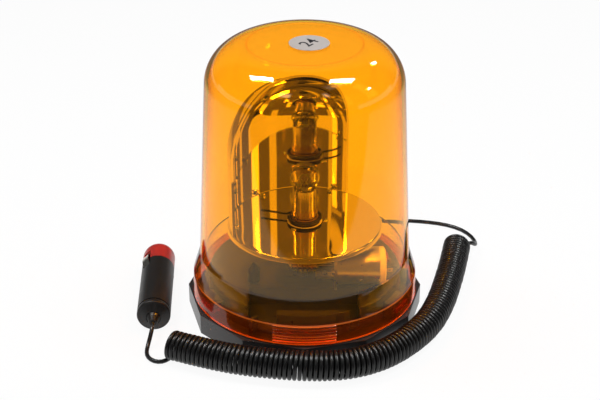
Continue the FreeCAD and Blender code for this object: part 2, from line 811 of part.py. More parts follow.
def worm_wheel():
    """A spoked-web wheel whose straight teeth take the worm's thread."""
    tip = wheel_pitch_radius + gear_module
    root = wheel_pitch_radius - dedendum_ratio * gear_module
    z0, z1 = motor_axis_z - wheel_face / 2, motor_axis_z + wheel_face / 2
    step = FULL_TURN / wheel_teeth
    half_pitch_tooth = math.degrees((math.pi * gear_module / 4 - tooth_gap / 2) / wheel_pitch_radius)
    flank = math.degrees(math.tan(math.radians(20)) * gear_module / wheel_pitch_radius)
    outline = []
    for i in range(wheel_teeth):
        middle = front_angle + (i + 0.5) * step
        outline += [polar(root, middle - half_pitch_tooth - dedendum_ratio * flank, z0),
                    polar(tip, middle - half_pitch_tooth + flank, z0),
                    polar(tip, middle + half_pitch_tooth - flank, z0),
                    polar(root, middle + half_pitch_tooth + dedendum_ratio * flank, z0)]
    wheel = Part.Face(Part.makePolygon(outline + outline[:1])).extrude(UP * wheel_face)
    web_low = motor_axis_z - wheel_web / 2
    for low, high in ((z0 - 1, web_low), (web_low + wheel_web, z1 + 1)):
        wheel = wheel.cut(ring(root - wheel_rim, hub_radius + wheel_rim, low, high))
    return wheel.cut(rod(hub_radius, z0 - 1, z1 + 1))


# ================================================================ motor
def along_x(shape, x0):
    """Lay a shape made up +Z along +X, on the motor's axis."""
    return laid(shape, V(x0, worm_axis_y, motor_axis_z), V(1, 0, 0))


def motor_can():
    length = motor_length - motor_cap_length
    can = rod(motor_radius, 0, length).cut(rod(motor_radius - motor_can_wall, motor_can_wall, length + 1))
    can = can.fuse(rod(motor_boss_radius, -motor_boss_length, 0)).removeSplitter()
    can = can.cut(rod(shaft_radius + shaft_fit, -motor_boss_length - 1, 2))
    holes = [Part.makeCylinder(small_screw_radius, 2, V(motor_front - 1, y, z), V(1, 0, 0))
             for y, z in motor_screw_places()]
    return along_x(can, motor_front).cut(group(holes))


def motor_end_cap():
    start = motor_length - motor_cap_length
    inner = motor_radius - motor_can_wall
    cap = lathe([(0, motor_length), (inner - 1, motor_length), (motor_radius, motor_length - 1),
                 (motor_radius, start), (inner, start), (inner, start - 0.5), (inner - 1.5, start - 0.5),
                 (inner - 1.5, motor_length - 2), (0, motor_length - 2)])
    return along_x(cap, motor_front)


def motor_magnets():
    outer = motor_radius - motor_can_wall
    inner = armature_radius + magnet_gap
    length = motor_length - motor_cap_length - 5
    halves = [sector(outer, inner, 3, length, start, start + 130) for start in (25, 205)]
    return along_x(group(halves), motor_front)


def motor_terminals():
    blades = []
    half, end = terminal_thickness / 2, motor_length + terminal_length
    for middle in (-terminal_offset, terminal_offset):
        blade = box(-1.3, 1.3, middle - half, middle + half, motor_length, end)
        blades.append(blade.cut(Part.makeCylinder(0.6, 2, V(0, middle - 1, end - 1.6), V(0, 1, 0))))
    return along_x(group(blades), motor_front)


def bracket_front():
    return motor_front - bracket_thickness


def foot_screw_place():
    x = bracket_front() - bracket_foot_length / 2
    return V(x, worm_axis_y + bracket_half_width - bracket_foot_width / 2, 0)


def motor_screw_places():
    return [(worm_axis_y + side * bracket_screw_offset, motor_axis_z) for side in (-1, 1)]


def motor_bracket():
    low, high = worm_axis_y - bracket_half_width, worm_axis_y + bracket_half_width
    plate = box(bracket_front(), motor_front, low, high, deck_height, motor_axis_z + motor_radius - 2)
    foot = box(bracket_front() - bracket_foot_length, motor_front, high - bracket_foot_width, high,
               deck_height, deck_height + bracket_thickness)
    bracket = plate.fuse(foot).removeSplitter()
    axis_place = V(bracket_front() - 1, worm_axis_y, motor_axis_z)
    holes = [Part.makeCylinder(motor_boss_radius, 4, axis_place, V(1, 0, 0))]
    holes += [Part.makeCylinder(small_screw_radius, 4, V(bracket_front() - 1, y, z), V(1, 0, 0))
              for y, z in motor_screw_places()]
    holes.append(rod(small_screw_radius, deck_height - 1, deck_height + 4, foot_screw_place()))
    return bracket.cut(group(holes))


def motor_screws():
    made = []
    for y, z in motor_screw_places():
        one = screw(small_screw_radius, bracket_thickness, -motor_can_wall)
        made.append(laid(one, V(motor_front, y, z), V(-1, 0, 0)))
    return group(made)


def bracket_screw():
    return screw(small_screw_radius, deck_height + bracket_thickness, deck_underside - 1, foot_screw_place())


def motor_shaft():
    end = motor_length - motor_cap_length - 1
    start = -(motor_front + worm_lead * worm_turns / 2 + 2)
    return along_x(rod(shaft_radius, start, end), motor_front)


def armature():
    start, end = 3.5, motor_length - motor_cap_length - 6
    core = ring(armature_radius, shaft_radius, start, end)
    slot = box(armature_radius - 3.5, armature_radius + 1, -0.8, 0.8, start - 1, end + 1)
    core = core.cut(group(spread(slot, 3)))
    commutator = ring(2.6, shaft_radius, end, end + 4)
    return along_x(core.fuse(commutator).removeSplitter(), motor_front)


def worm():
    """A single right-hand thread on a core, centred on the wheel."""
    tip = worm_pitch_radius + gear_module
    root = worm_pitch_radius - dedendum_ratio * gear_module
    length = worm_lead * worm_turns
    half_at_pitch = math.pi * gear_module / 4 - tooth_gap / 2
    slope = math.tan(math.radians(20))
    overlap = 0.4
    half_root = half_at_pitch + slope * (dedendum_ratio * gear_module + overlap)
    half_tip = half_at_pitch - slope * gear_module
    helix = Part.makeHelix(worm_lead, length, worm_pitch_radius)
    corners = [V(root - overlap, 0, -half_root), V(tip, 0, -half_tip), V(tip, 0, half_tip),
               V(root - overlap, 0, half_root)]
    profile = Part.makePolygon(corners + corners[:1])
    thread = Part.Wire(helix).makePipeShell([profile], True, True)
    core = rod(root, -1.6, length + 1.6)
    body = core.fuse(thread).cut(rod(shaft_radius, -3, length + 3))
    body = turned(body, 90, axis=UP)
    return along_x(body, -length / 2)


# ================================================================ suppressor and inner wires
def suppressor_capacitor():
    bottom = deck_height
    top = deck_height + capacitor_height
    shoulder = top - 6
    profile = [(0, bottom), (capacitor_radius * 0.7, bottom), (capacitor_radius, bottom + 1.5),
               (capacitor_radius, shoulder), (capacitor_radius * 0.6, shoulder + 3.2), (0.9, top - 0.8), (0, top)]
    shape = lathe(profile)
    shape.translate(V(capacitor_x, capacitor_y, 0))
    return shape


def over_cup(start, end):
    """Four points on the way from the wall to a place over the magnet, climbing over its rim."""
    climb = ((0.12, cord_exit_height), (0.32, cup_top + 2.5), (0.52, cup_top + 5.5), (0.76, cup_top + 8.0))
    return [(start[0] + share * (end[0] - start[0]), start[1] + share * (end[1] - start[1]), level)
            for share, level in climb]


def lamp_wire():
    low = cup_top + 5.0
    top = cap_bottom - 2.4 - insulator_thickness
    bend = (0.35 * post_bore, 2.5 * post_bore, low)
    points = [inner_exit(0), inner_exit(5)] + over_cup(inner_exit(5), bend)
    points += [bend, (0.6, 2.2, low), (0.4, 0.6, deck_underside), (0.4, 0.3, (deck_underside + top) / 2),
               (0.0, 0.0, top)]
    return tube(points, wire_radius)


def motor_wire():
    tab_x = motor_end + terminal_length / 2
    bend = (wire_hole_x, wire_hole_y + 6, deck_underside - 6)
    points = [inner_exit(0, 2.2), inner_exit(5, 2.2)] + over_cup(inner_exit(5, 2.2), bend)
    points += [bend, (wire_hole_x, wire_hole_y, deck_underside - 2), (wire_hole_x, wire_hole_y, deck_height + 5),
               (tab_x - 3.5, wire_hole_y - 6, motor_axis_z), (tab_x, wire_hole_y - 14, motor_axis_z),
               (tab_x, worm_axis_y + terminal_offset + terminal_thickness / 2, motor_axis_z)]
    return tube(points, wire_radius)


def inner_exit(depth, shift=0.0):
    """A point inside the wall behind the cord's grommet, where a wire starts straight."""
    inner = polar(base_flat_radius - base_wall - grommet_lip - depth, cord_exit_angle, cord_exit_height)
    return tuple(inner + polar(shift, cord_exit_angle - 90))


# ================================================================ cord
def cable_grommet():
    neck_start = -base_wall - grommet_lip
    neck = grommet_neck_radius
    lip_radius = neck + 0.6 * grommet_lip
    profile = [(0, neck_start), (lip_radius, neck_start), (lip_radius, -base_wall), (neck, -base_wall), (neck, 0),
               (grommet_flange_radius, 0), (grommet_flange_radius, grommet_flange_thickness),
               (neck, grommet_flange_thickness + 0.6), (grommet_tip_radius, grommet_length), (0, grommet_length)]
    face = polar(base_flat_radius, cord_exit_angle, cord_exit_height)
    return laid(lathe(profile), face, polar(1, cord_exit_angle))


def cord_lead_base():
    tip = polar(base_flat_radius + grommet_length, cord_exit_angle, cord_exit_height)
    return tube([tuple(tip)] + base_lead_points, cord_radius, "cord_lead_base")


def cord_coil():
    return tube(coil_points, coil_radius, "cord_coil")


def cord_lead_plug():
    tip = plug_rear - plug_axis * relief_length
    return tube([tuple(tip)] + plug_lead_points, cord_radius, "cord_lead_plug")


# ================================================================ plug
def on_plug(shape):
    return laid(shape, plug_rear, plug_axis)


def plug_strain_relief():
    neck = relief_root_radius
    profile = [(0, -relief_length), (relief_tip_radius, -relief_length), (neck * 0.8, -1.5), (neck, 0),
               (neck, 1.5), (0, 1.5)]
    return on_plug(lathe(profile))


def plug_rear_cap():
    r, round_, rise, shoulder = plug_radius, plug_cap_round, plug_cap_rise, plug_cap_shoulder
    inner = r - plug_wall
    flat = relief_root_radius + plug_cap_land
    edges = [line((relief_root_radius, 0), (flat, 0)),
             line((flat, 0), (r - round_, rise)),
             arc((r - round_, rise), on_circle((r - round_, shoulder), round_, -45), (r, shoulder)),
             line((r, shoulder), (r, plug_cap_length)),
             line((r, plug_cap_length), (inner, plug_cap_length)),
             line((inner, plug_cap_length), (inner, shoulder)),
             line((inner, shoulder), (relief_root_radius, plug_wall)),
             line((relief_root_radius, plug_wall), (relief_root_radius, 0))]
    return on_plug(lathe_edges(edges))


def contact_slot(side):
    """The window in the barrel that a side contact looks out of."""
    half = contact_slot_width / 2
    window = box(0, plug_radius + 2, -half, half, contact_slot_start, contact_slot_end)
    return turned(window, contact_direction(side))


def contact_slots():
    return group([contact_slot(side) for side in (1, -1)])


def contact_direction(side):
    """Angle of a side contact in the barrel's own frame."""
    tilted = V(-math.sin(math.radians(contact_tilt)), 0, math.cos(math.radians(contact_tilt)))
    local = FreeCAD.Rotation(UP, plug_axis).inverted().multVec(tilted)
    return math.degrees(math.atan2(local.y, local.x)) + (0 if side > 0 else 180)


def plug_body():
    step = 0.5
    groove = 1.2
    outer = [(plug_radius - plug_wall, plug_cap_length), (plug_radius - step, plug_cap_length),
             (plug_radius - step, plug_cap_length + groove), (plug_radius, plug_cap_length + groove),
             (plug_radius, plug_body_end), (plug_radius - plug_wall, plug_body_end)]
    barrel = lathe(outer)
    return on_plug(barrel.cut(contact_slots()))


def plug_nose_cap():
    r = plug_radius
    collar_end = plug_body_end + plug_nose_collar
    dome_rise = plug_nose_end - collar_end
    inner = r - plug_wall
    bulge = on_circle((plug_bore, collar_end), 1.0, 45)
    middle = (plug_bore + (r - plug_bore) * (bulge[0] - plug_bore), collar_end + dome_rise * (bulge[1] - collar_end))
    edges = [line((inner, plug_body_end), (r, plug_body_end)),
             line((r, plug_body_end), (r, collar_end)),
             arc((r, collar_end), middle, (plug_bore, plug_nose_end)),
             line((plug_bore, plug_nose_end), (plug_bore, plug_nose_end - plug_wall)),
             line((plug_bore, plug_nose_end - plug_wall), (inner, collar_end)),
             line((inner, collar_end), (inner, plug_body_end))]
    return on_plug(lathe_edges(edges).cut(contact_slots()))


def pin_collar_top():
    return plug_nose_end - plug_wall - 2.4


def plug_center_pin():
    shank = pin_shank_radius
    collar_top = pin_collar_top()
    collar_low = collar_top - pin_collar_height
    profile = [(0, collar_low), (pin_collar_radius, collar_low), (pin_collar_radius, collar_top),
               (shank, collar_top), (shank, pin_tip - 1.6), (shank - 1.4, pin_tip), (0, pin_tip)]
    return on_plug(lathe(profile))


def plug_spring():
    low = plug_fuse_top()
    high = pin_collar_top() - pin_collar_height - fit_gap
    steps = spring_turns * spring_steps
    rise = (high - low - 2 * spring_wire) / steps
    points = [tuple(polar(spring_radius, i * FULL_TURN / spring_steps, low + spring_wire * 0.93 + i * rise))
              for i in range(steps + 1)]
    return on_plug(tube(points, spring_wire))


def plug_fuse_top():
    return contact_slot_start + 2.0


def plug_fuse():
    top = plug_fuse_top()
    ferrule = 5.5
    r = fuse_radius
    profile = [(0, top - fuse_length), (r, top - fuse_length), (r, top - fuse_length + ferrule),
               (r - 0.3, top - fuse_length + ferrule), (r - 0.3, top - ferrule), (r, top - ferrule), (r, top), (0, top)]
    return on_plug(lathe(profile))


def plug_fuse_carrier():
    top = plug_fuse_top() - fuse_length
    return on_plug(ring(plug_radius - plug_wall, fuse_radius * 0.5, top - 3, top))


def side_contact(side):
    """A bowed spring strip in its window, proud of the barrel at its middle."""
    start, end = contact_slot_start - contact_tuck, contact_slot_end + contact_tuck
    middle = (start + end) / 2
    low = plug_radius - plug_wall - contact_sink
    high = plug_radius + contact_bulge
    sheet = contact_sheet
    edges = [arc((low, start), (high, middle), (low, end)),
             line((low, end), (low - sheet, end)),
             arc((low - sheet, end), (high - sheet, middle), (low - sheet, start)),
             line((low - sheet, start), (low, start))]
    strip = Part.Face(Part.Wire(Part.sortEdges(edges)[0])).extrude(V(0, contact_width, 0))
    strip.translate(V(0, -contact_width / 2, 0))
    return on_plug(turned(strip, contact_direction(side)))


# ================================================================ nodes
NODES = {
    "base_housing": base_housing,
    "bottom_plate": bottom_plate,
    "bottom_plate_screws": plate_screw_set,
    "magnet_pad": magnet_pad,
    "magnet_cup": magnet_cup,
    "magnet_ring": magnet_ring,
    "magnet_cup_screws": cup_screw_set,
    "lens_gasket": lens_gasket,
    "lens": lens,
    "rating_label": rating_label,
    "lamp_post": lamp_post,
    "post_nut": post_nut,
    "thrust_washer": thrust_washer,
    "lamp_holder": lamp_holder,
    "holder_insulator": holder_insulator,
    "holder_contact": holder_contact,
    "lamp_cap": lamp_cap,
    "lamp_glass": lamp_glass,
    "lamp_stem": lamp_stem,
    "lamp_filament": lamp_filament,
    "rotor_hub": hub,
    "turntable": turntable,
    "hub_rivets": hub_rivets,
    "hub_clip": hub_clip,
    "reflector": reflector,
    "reflector_rivets": reflector_rivets,
    "worm_wheel": worm_wheel,
    "motor_can": motor_can,
    "motor_end_cap": motor_end_cap,
    "motor_magnets": motor_magnets,
    "motor_terminals": motor_terminals,
    "motor_bracket": motor_bracket,
    "motor_screws": motor_screws,
    "bracket_screw": bracket_screw,
    "motor_shaft": motor_shaft,
    "armature": armature,
    "worm": worm,
    "suppressor_capacitor": suppressor_capacitor,
    "lamp_wire": lamp_wire,
    "motor_wire": motor_wire,
    "cable_grommet": cable_grommet,
    "cord_lead_base": cord_lead_base,
    "cord_coil": cord_coil,
    "cord_lead_plug": cord_lead_plug,
    "plug_strain_relief": plug_strain_relief,
    "plug_rear_cap": plug_rear_cap,
    "plug_body": plug_body,
    "plug_nose_cap": plug_nose_cap,
    "plug_center_pin": plug_center_pin,
    "plug_spring": plug_spring,
    "plug_fuse": plug_fuse,
    "plug_fuse_carrier": plug_fuse_carrier,
    "plug_contact_upper": lambda: side_contact(1),
    "plug_contact_lower": lambda: side_contact(-1),
}


def main():
    os.makedirs("parts", exist_ok=True)
    for name, make in NODES.items():
        shape = make()
        if not shape.isValid() or not shape.Solids:
            print("NOT VALID", name)
        shape.exportStep("parts/%s.step" % name)


main()
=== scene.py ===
"""Looks of a rotating amber beacon: clear dome, mirror and lamp, black base, curly cord and plug.

Metres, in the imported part's own frame.  Sizes that belong to this script are named in millimetres
and turned to metres by MM.  Each piece and each finish has its own short function.
"""
import json
import math

import bmesh
import bpy
from mathutils import Matrix, Vector


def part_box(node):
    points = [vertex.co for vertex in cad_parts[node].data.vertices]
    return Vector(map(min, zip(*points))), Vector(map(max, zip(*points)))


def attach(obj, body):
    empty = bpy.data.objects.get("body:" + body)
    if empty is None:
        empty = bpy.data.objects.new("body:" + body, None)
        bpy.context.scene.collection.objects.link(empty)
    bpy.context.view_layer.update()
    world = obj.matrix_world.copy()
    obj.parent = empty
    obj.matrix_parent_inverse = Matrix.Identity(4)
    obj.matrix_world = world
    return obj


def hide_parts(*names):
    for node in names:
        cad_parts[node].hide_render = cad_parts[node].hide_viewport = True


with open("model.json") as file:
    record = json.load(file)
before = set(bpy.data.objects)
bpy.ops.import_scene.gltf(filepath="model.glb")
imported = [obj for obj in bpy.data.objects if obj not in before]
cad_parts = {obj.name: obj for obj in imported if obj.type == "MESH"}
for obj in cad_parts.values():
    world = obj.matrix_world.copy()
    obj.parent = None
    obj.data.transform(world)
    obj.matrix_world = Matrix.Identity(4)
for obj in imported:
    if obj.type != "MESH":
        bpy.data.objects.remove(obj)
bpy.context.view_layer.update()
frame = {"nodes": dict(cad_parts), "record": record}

MM = 0.001
FULL_TURN = 2 * math.pi
UP = Vector((0, 0, 1))


# ================================================================ node trees
def new_group(name, inputs, outputs, kind="ShaderNodeTree"):
    """A node group with named sockets; returns it with what its input node gives."""
    tree = bpy.data.node_groups.new(name, kind)
    for label, socket_kind, value in inputs:
        socket = tree.interface.new_socket(label, in_out="INPUT", socket_type=socket_kind)
        if value is not None:
            socket.default_value = value
    for label, socket_kind in outputs:
        tree.interface.new_socket(label, in_out="OUTPUT", socket_type=socket_kind)
    return tree, tree.nodes.new("NodeGroupInput").outputs


def finished(tree, **results):
    """Link a group's results to its named outputs."""
    out = tree.nodes.new("NodeGroupOutput")
    for label, source in results.items():
        tree.links.new(source, out.inputs[label])
    return tree


def node(tree, kind, feeds=(), **values):
    """A node with its properties and plain input values set.

    `feeds` pairs an input's name or number with the socket or the plain value that goes into it.
    """
    made = tree.nodes.new(kind)
    for key, value in values.items():
        if hasattr(made, key):
            setattr(made, key, value)
        else:
            made.inputs[key.replace("_", " ")].default_value = value
    for label, source in feeds:
        if isinstance(source, bpy.types.NodeSocket):
            tree.links.new(source, made.inputs[label])
        else:
            made.inputs[label].default_value = source
    return made


def math_of(tree, operation, *terms, clamp=False):
    """What a Math node makes of sockets and plain numbers."""
    made = node(tree, "ShaderNodeMath", enumerate(terms), operation=operation, use_clamp=clamp)
    return made.outputs[0]


def mix_of(tree, kind, factor, a, b):
    """A mix between two colours ("RGBA") or two numbers ("FLOAT")."""
    made = node(tree, "ShaderNodeMix", [("Factor", factor), ("A", a), ("B", b)], data_type=kind)
    return made.outputs["Result"]


def ranged(tree, source, low, high, out_low, out_high):
    """Map a value from one range to another, clamped."""
    limits = [("Value", source), ("From Min", low), ("From Max", high),
              ("To Min", out_low), ("To Max", out_high)]
    return node(tree, "ShaderNodeMapRange", limits).outputs["Result"]


def object_place(tree):
    """The place on the object, in its own metres."""
    return node(tree, "ShaderNodeTexCoord").outputs["Object"]


def noise(tree, place, scale, detail, roughness):
    """A noise texture's value at a place."""
    made = node(tree, "ShaderNodeTexNoise", [("Vector", place), ("Scale", scale)],
                Detail=detail, Roughness=roughness)
    return made.outputs["Fac"]


def build_mottle():
    """Slow changes of shade and gloss over a surface."""
    tree, given = new_group(
        "mottle",
        [("Color", "NodeSocketColor", (0.5, 0.5, 0.5, 1)), ("Shade", "NodeSocketFloat", 0.1),
         ("Roughness", "NodeSocketFloat", 0.4), ("Spread", "NodeSocketFloat", 0.1),
         ("Scale", "NodeSocketFloat", 60.0)],
        [("Color", "NodeSocketColor"), ("Roughness", "NodeSocketFloat")])
    coarse = noise(tree, object_place(tree), given["Scale"], 4.0, 0.55)
    centred = math_of(tree, "SUBTRACT", coarse, 0.5)
    shade = math_of(tree, "MULTIPLY_ADD", centred, given["Shade"], 1.0)
    scaled = node(tree, "ShaderNodeVectorMath", [(0, given["Color"]), ("Scale", shade)], operation="SCALE")
    gloss = math_of(tree, "MULTIPLY_ADD", centred, given["Spread"], given["Roughness"], clamp=True)
    return finished(tree, Color=scaled.outputs[0], Roughness=gloss)


def build_grain():
    """A fine moulded or cast grain as a normal."""
    tree, given = new_group(
        "grain",
        [("Scale", "NodeSocketFloat", 900.0), ("Depth", "NodeSocketFloat", 0.1)],
        [("Normal", "NodeSocketVector")])
    fine = noise(tree, object_place(tree), given["Scale"], 3.0, 0.6)
    bump = node(tree, "ShaderNodeBump", [("Height", fine), ("Strength", given["Depth"])], Distance=0.4 * MM)
    return finished(tree, Normal=bump.outputs["Normal"])


def build_scuffs():
    """Sparse fine scratches as a mask, long along Z."""
    tree, given = new_group(
        "scuffs",
        [("Scale", "NodeSocketFloat", 40.0), ("Amount", "NodeSocketFloat", 0.3)],
        [("Mask", "NodeSocketFloat")])
    stretch = node(tree, "ShaderNodeMapping", [("Vector", object_place(tree))],
                   Scale=(9.0, 9.0, 1.0), Rotation=(0.3, 0.2, 0.5))
    streak = noise(tree, stretch.outputs["Vector"], given["Scale"], 6.0, 0.7)
    thin = ranged(tree, streak, 0.60, 0.72, 0.0, 1.0)
    return finished(tree, Mask=math_of(tree, "MULTIPLY", thin, given["Amount"]))


def build_dust():
    """Pale dust that settles on faces that look up."""
    tree, given = new_group(
        "dust",
        [("Color", "NodeSocketColor", (0.0, 0.0, 0.0, 1)),
         ("Dust Color", "NodeSocketColor", (0.3, 0.28, 0.25, 1)), ("Amount", "NodeSocketFloat", 0.1)],
        [("Color", "NodeSocketColor")])
    place = node(tree, "ShaderNodeTexCoord").outputs
    split = node(tree, "ShaderNodeSeparateXYZ", [(0, place["Normal"])])
    facing = ranged(tree, split.outputs["Z"], 0.3, 1.0, 0.1, 1.0)
    speck = ranged(tree, noise(tree, place["Object"], 700.0, 5.0, 0.75), 0.45, 0.75, 0.0, 1.0)
    amount = math_of(tree, "MULTIPLY", math_of(tree, "MULTIPLY", facing, speck), given["Amount"], clamp=True)
    return finished(tree, Color=mix_of(tree, "RGBA", amount, given["Color"], given["Dust Color"]))


MOTTLE = build_mottle()
GRAIN = build_grain()
SCUFFS = build_scuffs()
DUST = build_dust()


def placed(tree, group, feeds=(), **values):
    """A shader group put in a material, with what goes into it."""
    return node(tree, "ShaderNodeGroup", feeds, node_tree=group, **values)


def shader(name, roughness=0.4, metallic=0.0, ior=1.5, coat=0.0, transmission=0.0):
    """A material with one Principled shader; returns it with its tree and shader."""
    made = bpy.data.materials.new(name)
    made.use_nodes = True
    body = made.node_tree.nodes["Principled BSDF"]
    for label, value in (("Roughness", roughness), ("Metallic", metallic), ("IOR", ior),
                         ("Coat Weight", coat), ("Transmission Weight", transmission)):
        body.inputs[label].default_value = value
    return made, made.node_tree, body


def mix_shaders(tree, share, first, second):
    """Mix two shaders into the material's output."""
    mix = node(tree, "ShaderNodeMixShader", [("Fac", share), (1, first.outputs[0]), (2, second.outputs[0])])
    tree.links.new(mix.outputs[0], tree.nodes["Material Output"].inputs["Surface"])


def surface(name, color, roughness=0.4, metallic=0.0, ior=1.5, coat=0.0, shade=0.2, spread=0.15,
            scale=60.0, grain=0.0, grain_scale=900.0, scuffs=0.0, dust=0.0):
    """An opaque finish: mottled colour and gloss, and grain, scuffs and dust where asked."""
    made, tree, body = shader(name, roughness, metallic, ior, coat)
    base = placed(tree, MOTTLE, Color=(*color, 1), Shade=shade, Roughness=roughness, Spread=spread,
                  Scale=scale)
    color_out, rough_out = base.outputs["Color"], base.outputs["Roughness"]
    if dust:
        color_out = placed(tree, DUST, [("Color", color_out)], Amount=dust).outputs["Color"]
    if scuffs:
        marks = placed(tree, SCUFFS, Amount=scuffs)
        rough_out = math_of(tree, "ADD", rough_out, marks.outputs["Mask"], clamp=True)
    tree.links.new(color_out, body.inputs["Base Color"])
    tree.links.new(rough_out, body.inputs["Roughness"])
    if grain:
        bumps = placed(tree, GRAIN, Scale=grain_scale, Depth=grain)
        tree.links.new(bumps.outputs["Normal"], body.inputs["Normal"])
    return made


# ================================================================ finishes
EDGE_ON = (0.66, 0.93)


def clear_plastic(name, tint, shadow_tint, roughness, ior=1.49, clear=1.0, edge_tint=None):
    """Polished clear plastic or glass that lets lamps through; deeper in colour where it is seen edge-on."""
    made, tree, body = shader(name, roughness, ior=ior, transmission=clear)
    haze = placed(tree, MOTTLE, Color=(*tint, 1), Shade=0.04, Roughness=roughness, Spread=0.02, Scale=30.0)
    color = haze.outputs["Color"]
    if edge_tint:
        facing = node(tree, "ShaderNodeLayerWeight", Blend=0.5)
        share = ranged(tree, facing.outputs["Facing"], *EDGE_ON, 0.0, 1.0)
        color = mix_of(tree, "RGBA", share, color, (*edge_tint, 1))
    tree.links.new(color, body.inputs["Base Color"])
    tree.links.new(haze.outputs["Roughness"], body.inputs["Roughness"])
    passing = node(tree, "ShaderNodeBsdfTransparent", Color=(*shadow_tint, 1))
    rays = node(tree, "ShaderNodeLightPath")
    mix_shaders(tree, rays.outputs["Is Shadow Ray"], body, passing)
    return made


FINISH = {
    "amber_lens": clear_plastic("amber_polycarbonate", (1.0, 0.585, 0.04), (0.95, 0.70, 0.20), 0.012,
                                edge_tint=(1.0, 0.10, 0.01)),
    "amber_ring": clear_plastic("amber_top_ring", (1.0, 0.30, 0.02), (0.95, 0.70, 0.20), 0.02),
    "amber_skirt": clear_plastic("amber_moulded_skirt", (0.80, 0.13, 0.006), (0.9, 0.40, 0.05), 0.03,
                                 clear=0.90),
    # crease, rim and rib tops: a less clear red-orange copy of the amber plastic, a painted glow that stands in
    # for light caught at those edges
    "amber_painted_glow": clear_plastic("amber_crease_painted_glow", (1.0, 0.20, 0.01), (0.9, 0.40, 0.05), 0.08,
                                  clear=0.35),
    "lamp_glass": clear_plastic("lamp_glass", (1.0, 1.0, 1.0), (0.97, 0.98, 0.98), 0.0, 1.5),
    "fuse_glass": clear_plastic("fuse_glass", (0.96, 0.98, 0.98), (0.95, 0.96, 0.96), 0.02, 1.5),
    "black_abs": surface("black_moulded_abs", (0.026, 0.024, 0.023), 0.30, coat=0.25, shade=0.5, spread=0.18,
                         scale=45.0, grain=0.10, grain_scale=1500.0, scuffs=0.15, dust=0.05),
    "mirror_metal": surface("bright_mirror_metal", (0.93, 0.91, 0.87), 0.045, 1.0, shade=0.03, spread=0.03,
                            scale=35.0, scuffs=0.05),
    "collar_black": surface("black_acetal", (0.012, 0.011, 0.010), 0.38, shade=0.3, spread=0.1, grain=0.05),
    "nylon": surface("natural_nylon", (0.80, 0.76, 0.64), 0.42, shade=0.12, spread=0.12, grain=0.05),
    "zinc_steel": surface("zinc_plated_steel", (0.68, 0.68, 0.65), 0.30, 1.0, shade=0.22, spread=0.18,
                          scale=120.0, grain=0.06, scuffs=0.2),
    "zinc_screw": surface("zinc_screws", (0.74, 0.73, 0.70), 0.26, 1.0, shade=0.2, spread=0.12, scale=200.0,
                          scuffs=0.15),
    "ferrite": surface("sintered_ferrite", (0.055, 0.055, 0.060), 0.62, shade=0.5, spread=0.2, grain=0.35),
    "black_rubber": surface("black_rubber", (0.018, 0.018, 0.018), 0.72, ior=1.45, shade=0.5, spread=0.15,
                            grain=0.3, grain_scale=700.0, dust=0.2),
    "brass_holder": surface("machined_brass", (0.76, 0.56, 0.24), 0.26, 1.0, shade=0.2, spread=0.12,
                            scuffs=0.15),
    "lamp_brass": surface("nickel_washed_brass", (0.80, 0.74, 0.60), 0.22, 1.0, shade=0.2, spread=0.14,
                          scale=150.0, scuffs=0.15),
    "phenolic": surface("brown_phenolic", (0.13, 0.055, 0.025), 0.45, shade=0.5, grain=0.1),
    "tungsten": surface("drawn_tungsten", (0.30, 0.29, 0.28), 0.35, 1.0),
    "capacitor_sleeve": surface("black_dipped_sleeve", (0.010, 0.009, 0.009), 0.30, shade=0.4, grain=0.05),
    "wire_insulation": surface("wire_insulation", (0.30, 0.020, 0.012), 0.38, shade=0.25, grain=0.04),
    "label_foil": surface("silver_foil", (0.45, 0.41, 0.385), 0.45, 0.2, shade=0.12, spread=0.12, scale=90.0,
                          grain=0.05),
    "label_ink": surface("label_ink", (0.020, 0.019, 0.022), 0.5, shade=0.3, grain=0.04),
    "cord_jacket": surface("black_cord_jacket", (0.005, 0.005, 0.005), 0.31, coat=0.05, shade=0.4, spread=0.2,
                           scale=80.0, grain=0.06),
    "plug_black": surface("satin_black_moulding", (0.009, 0.0085, 0.008), 0.40, shade=0.35, spread=0.16,
                          scale=90.0, grain=0.16, grain_scale=1300.0, scuffs=0.12, dust=0.02),
    "plug_red": surface("red_moulding", (0.40, 0.028, 0.022), 0.30, coat=0.2, shade=0.15, spread=0.12,
                        grain=0.06),
    "spring_steel": surface("spring_steel", (0.52, 0.52, 0.51), 0.24, 1.0, shade=0.15),
    "contact_nickel": surface("nickel_contact", (0.80, 0.77, 0.68), 0.20, 1.0, shade=0.2, spread=0.12,
                              scuffs=0.2),
}


def added(name, data):
    """Put data in the scene as an object."""
    made = bpy.data.objects.new(name, data)
    bpy.context.scene.collection.objects.link(made)
    return made


def object_from(name, mesh, finish):
    """Put a mesh in the scene under a piece name, with its finish."""
    made = added(name, mesh)
    mesh.materials.clear()
    mesh.materials.append(FINISH[finish])
    return made


def mesh_from(builder, name):
    """Turn a bmesh into a mesh and free it."""
    mesh = bpy.data.meshes.new(name)
    builder.to_mesh(mesh)
    builder.free()
    return mesh


def final_mesh(obj):
    """The mesh that an object's curve, text or modifiers end as."""
    bpy.context.view_layer.update()
    seen = bpy.context.evaluated_depsgraph_get()
    return bpy.data.meshes.new_from_object(obj.evaluated_get(seen))


def smooth_by_angle(mesh, degrees=35):
    mesh.shade_smooth()
    mesh.set_sharp_from_angle(angle=math.radians(degrees))


def polar(radius, angle, height):
    """A point in metres from a radius and a height in mm and an angle."""
    return radius * MM * math.cos(angle), radius * MM * math.sin(angle), height * MM


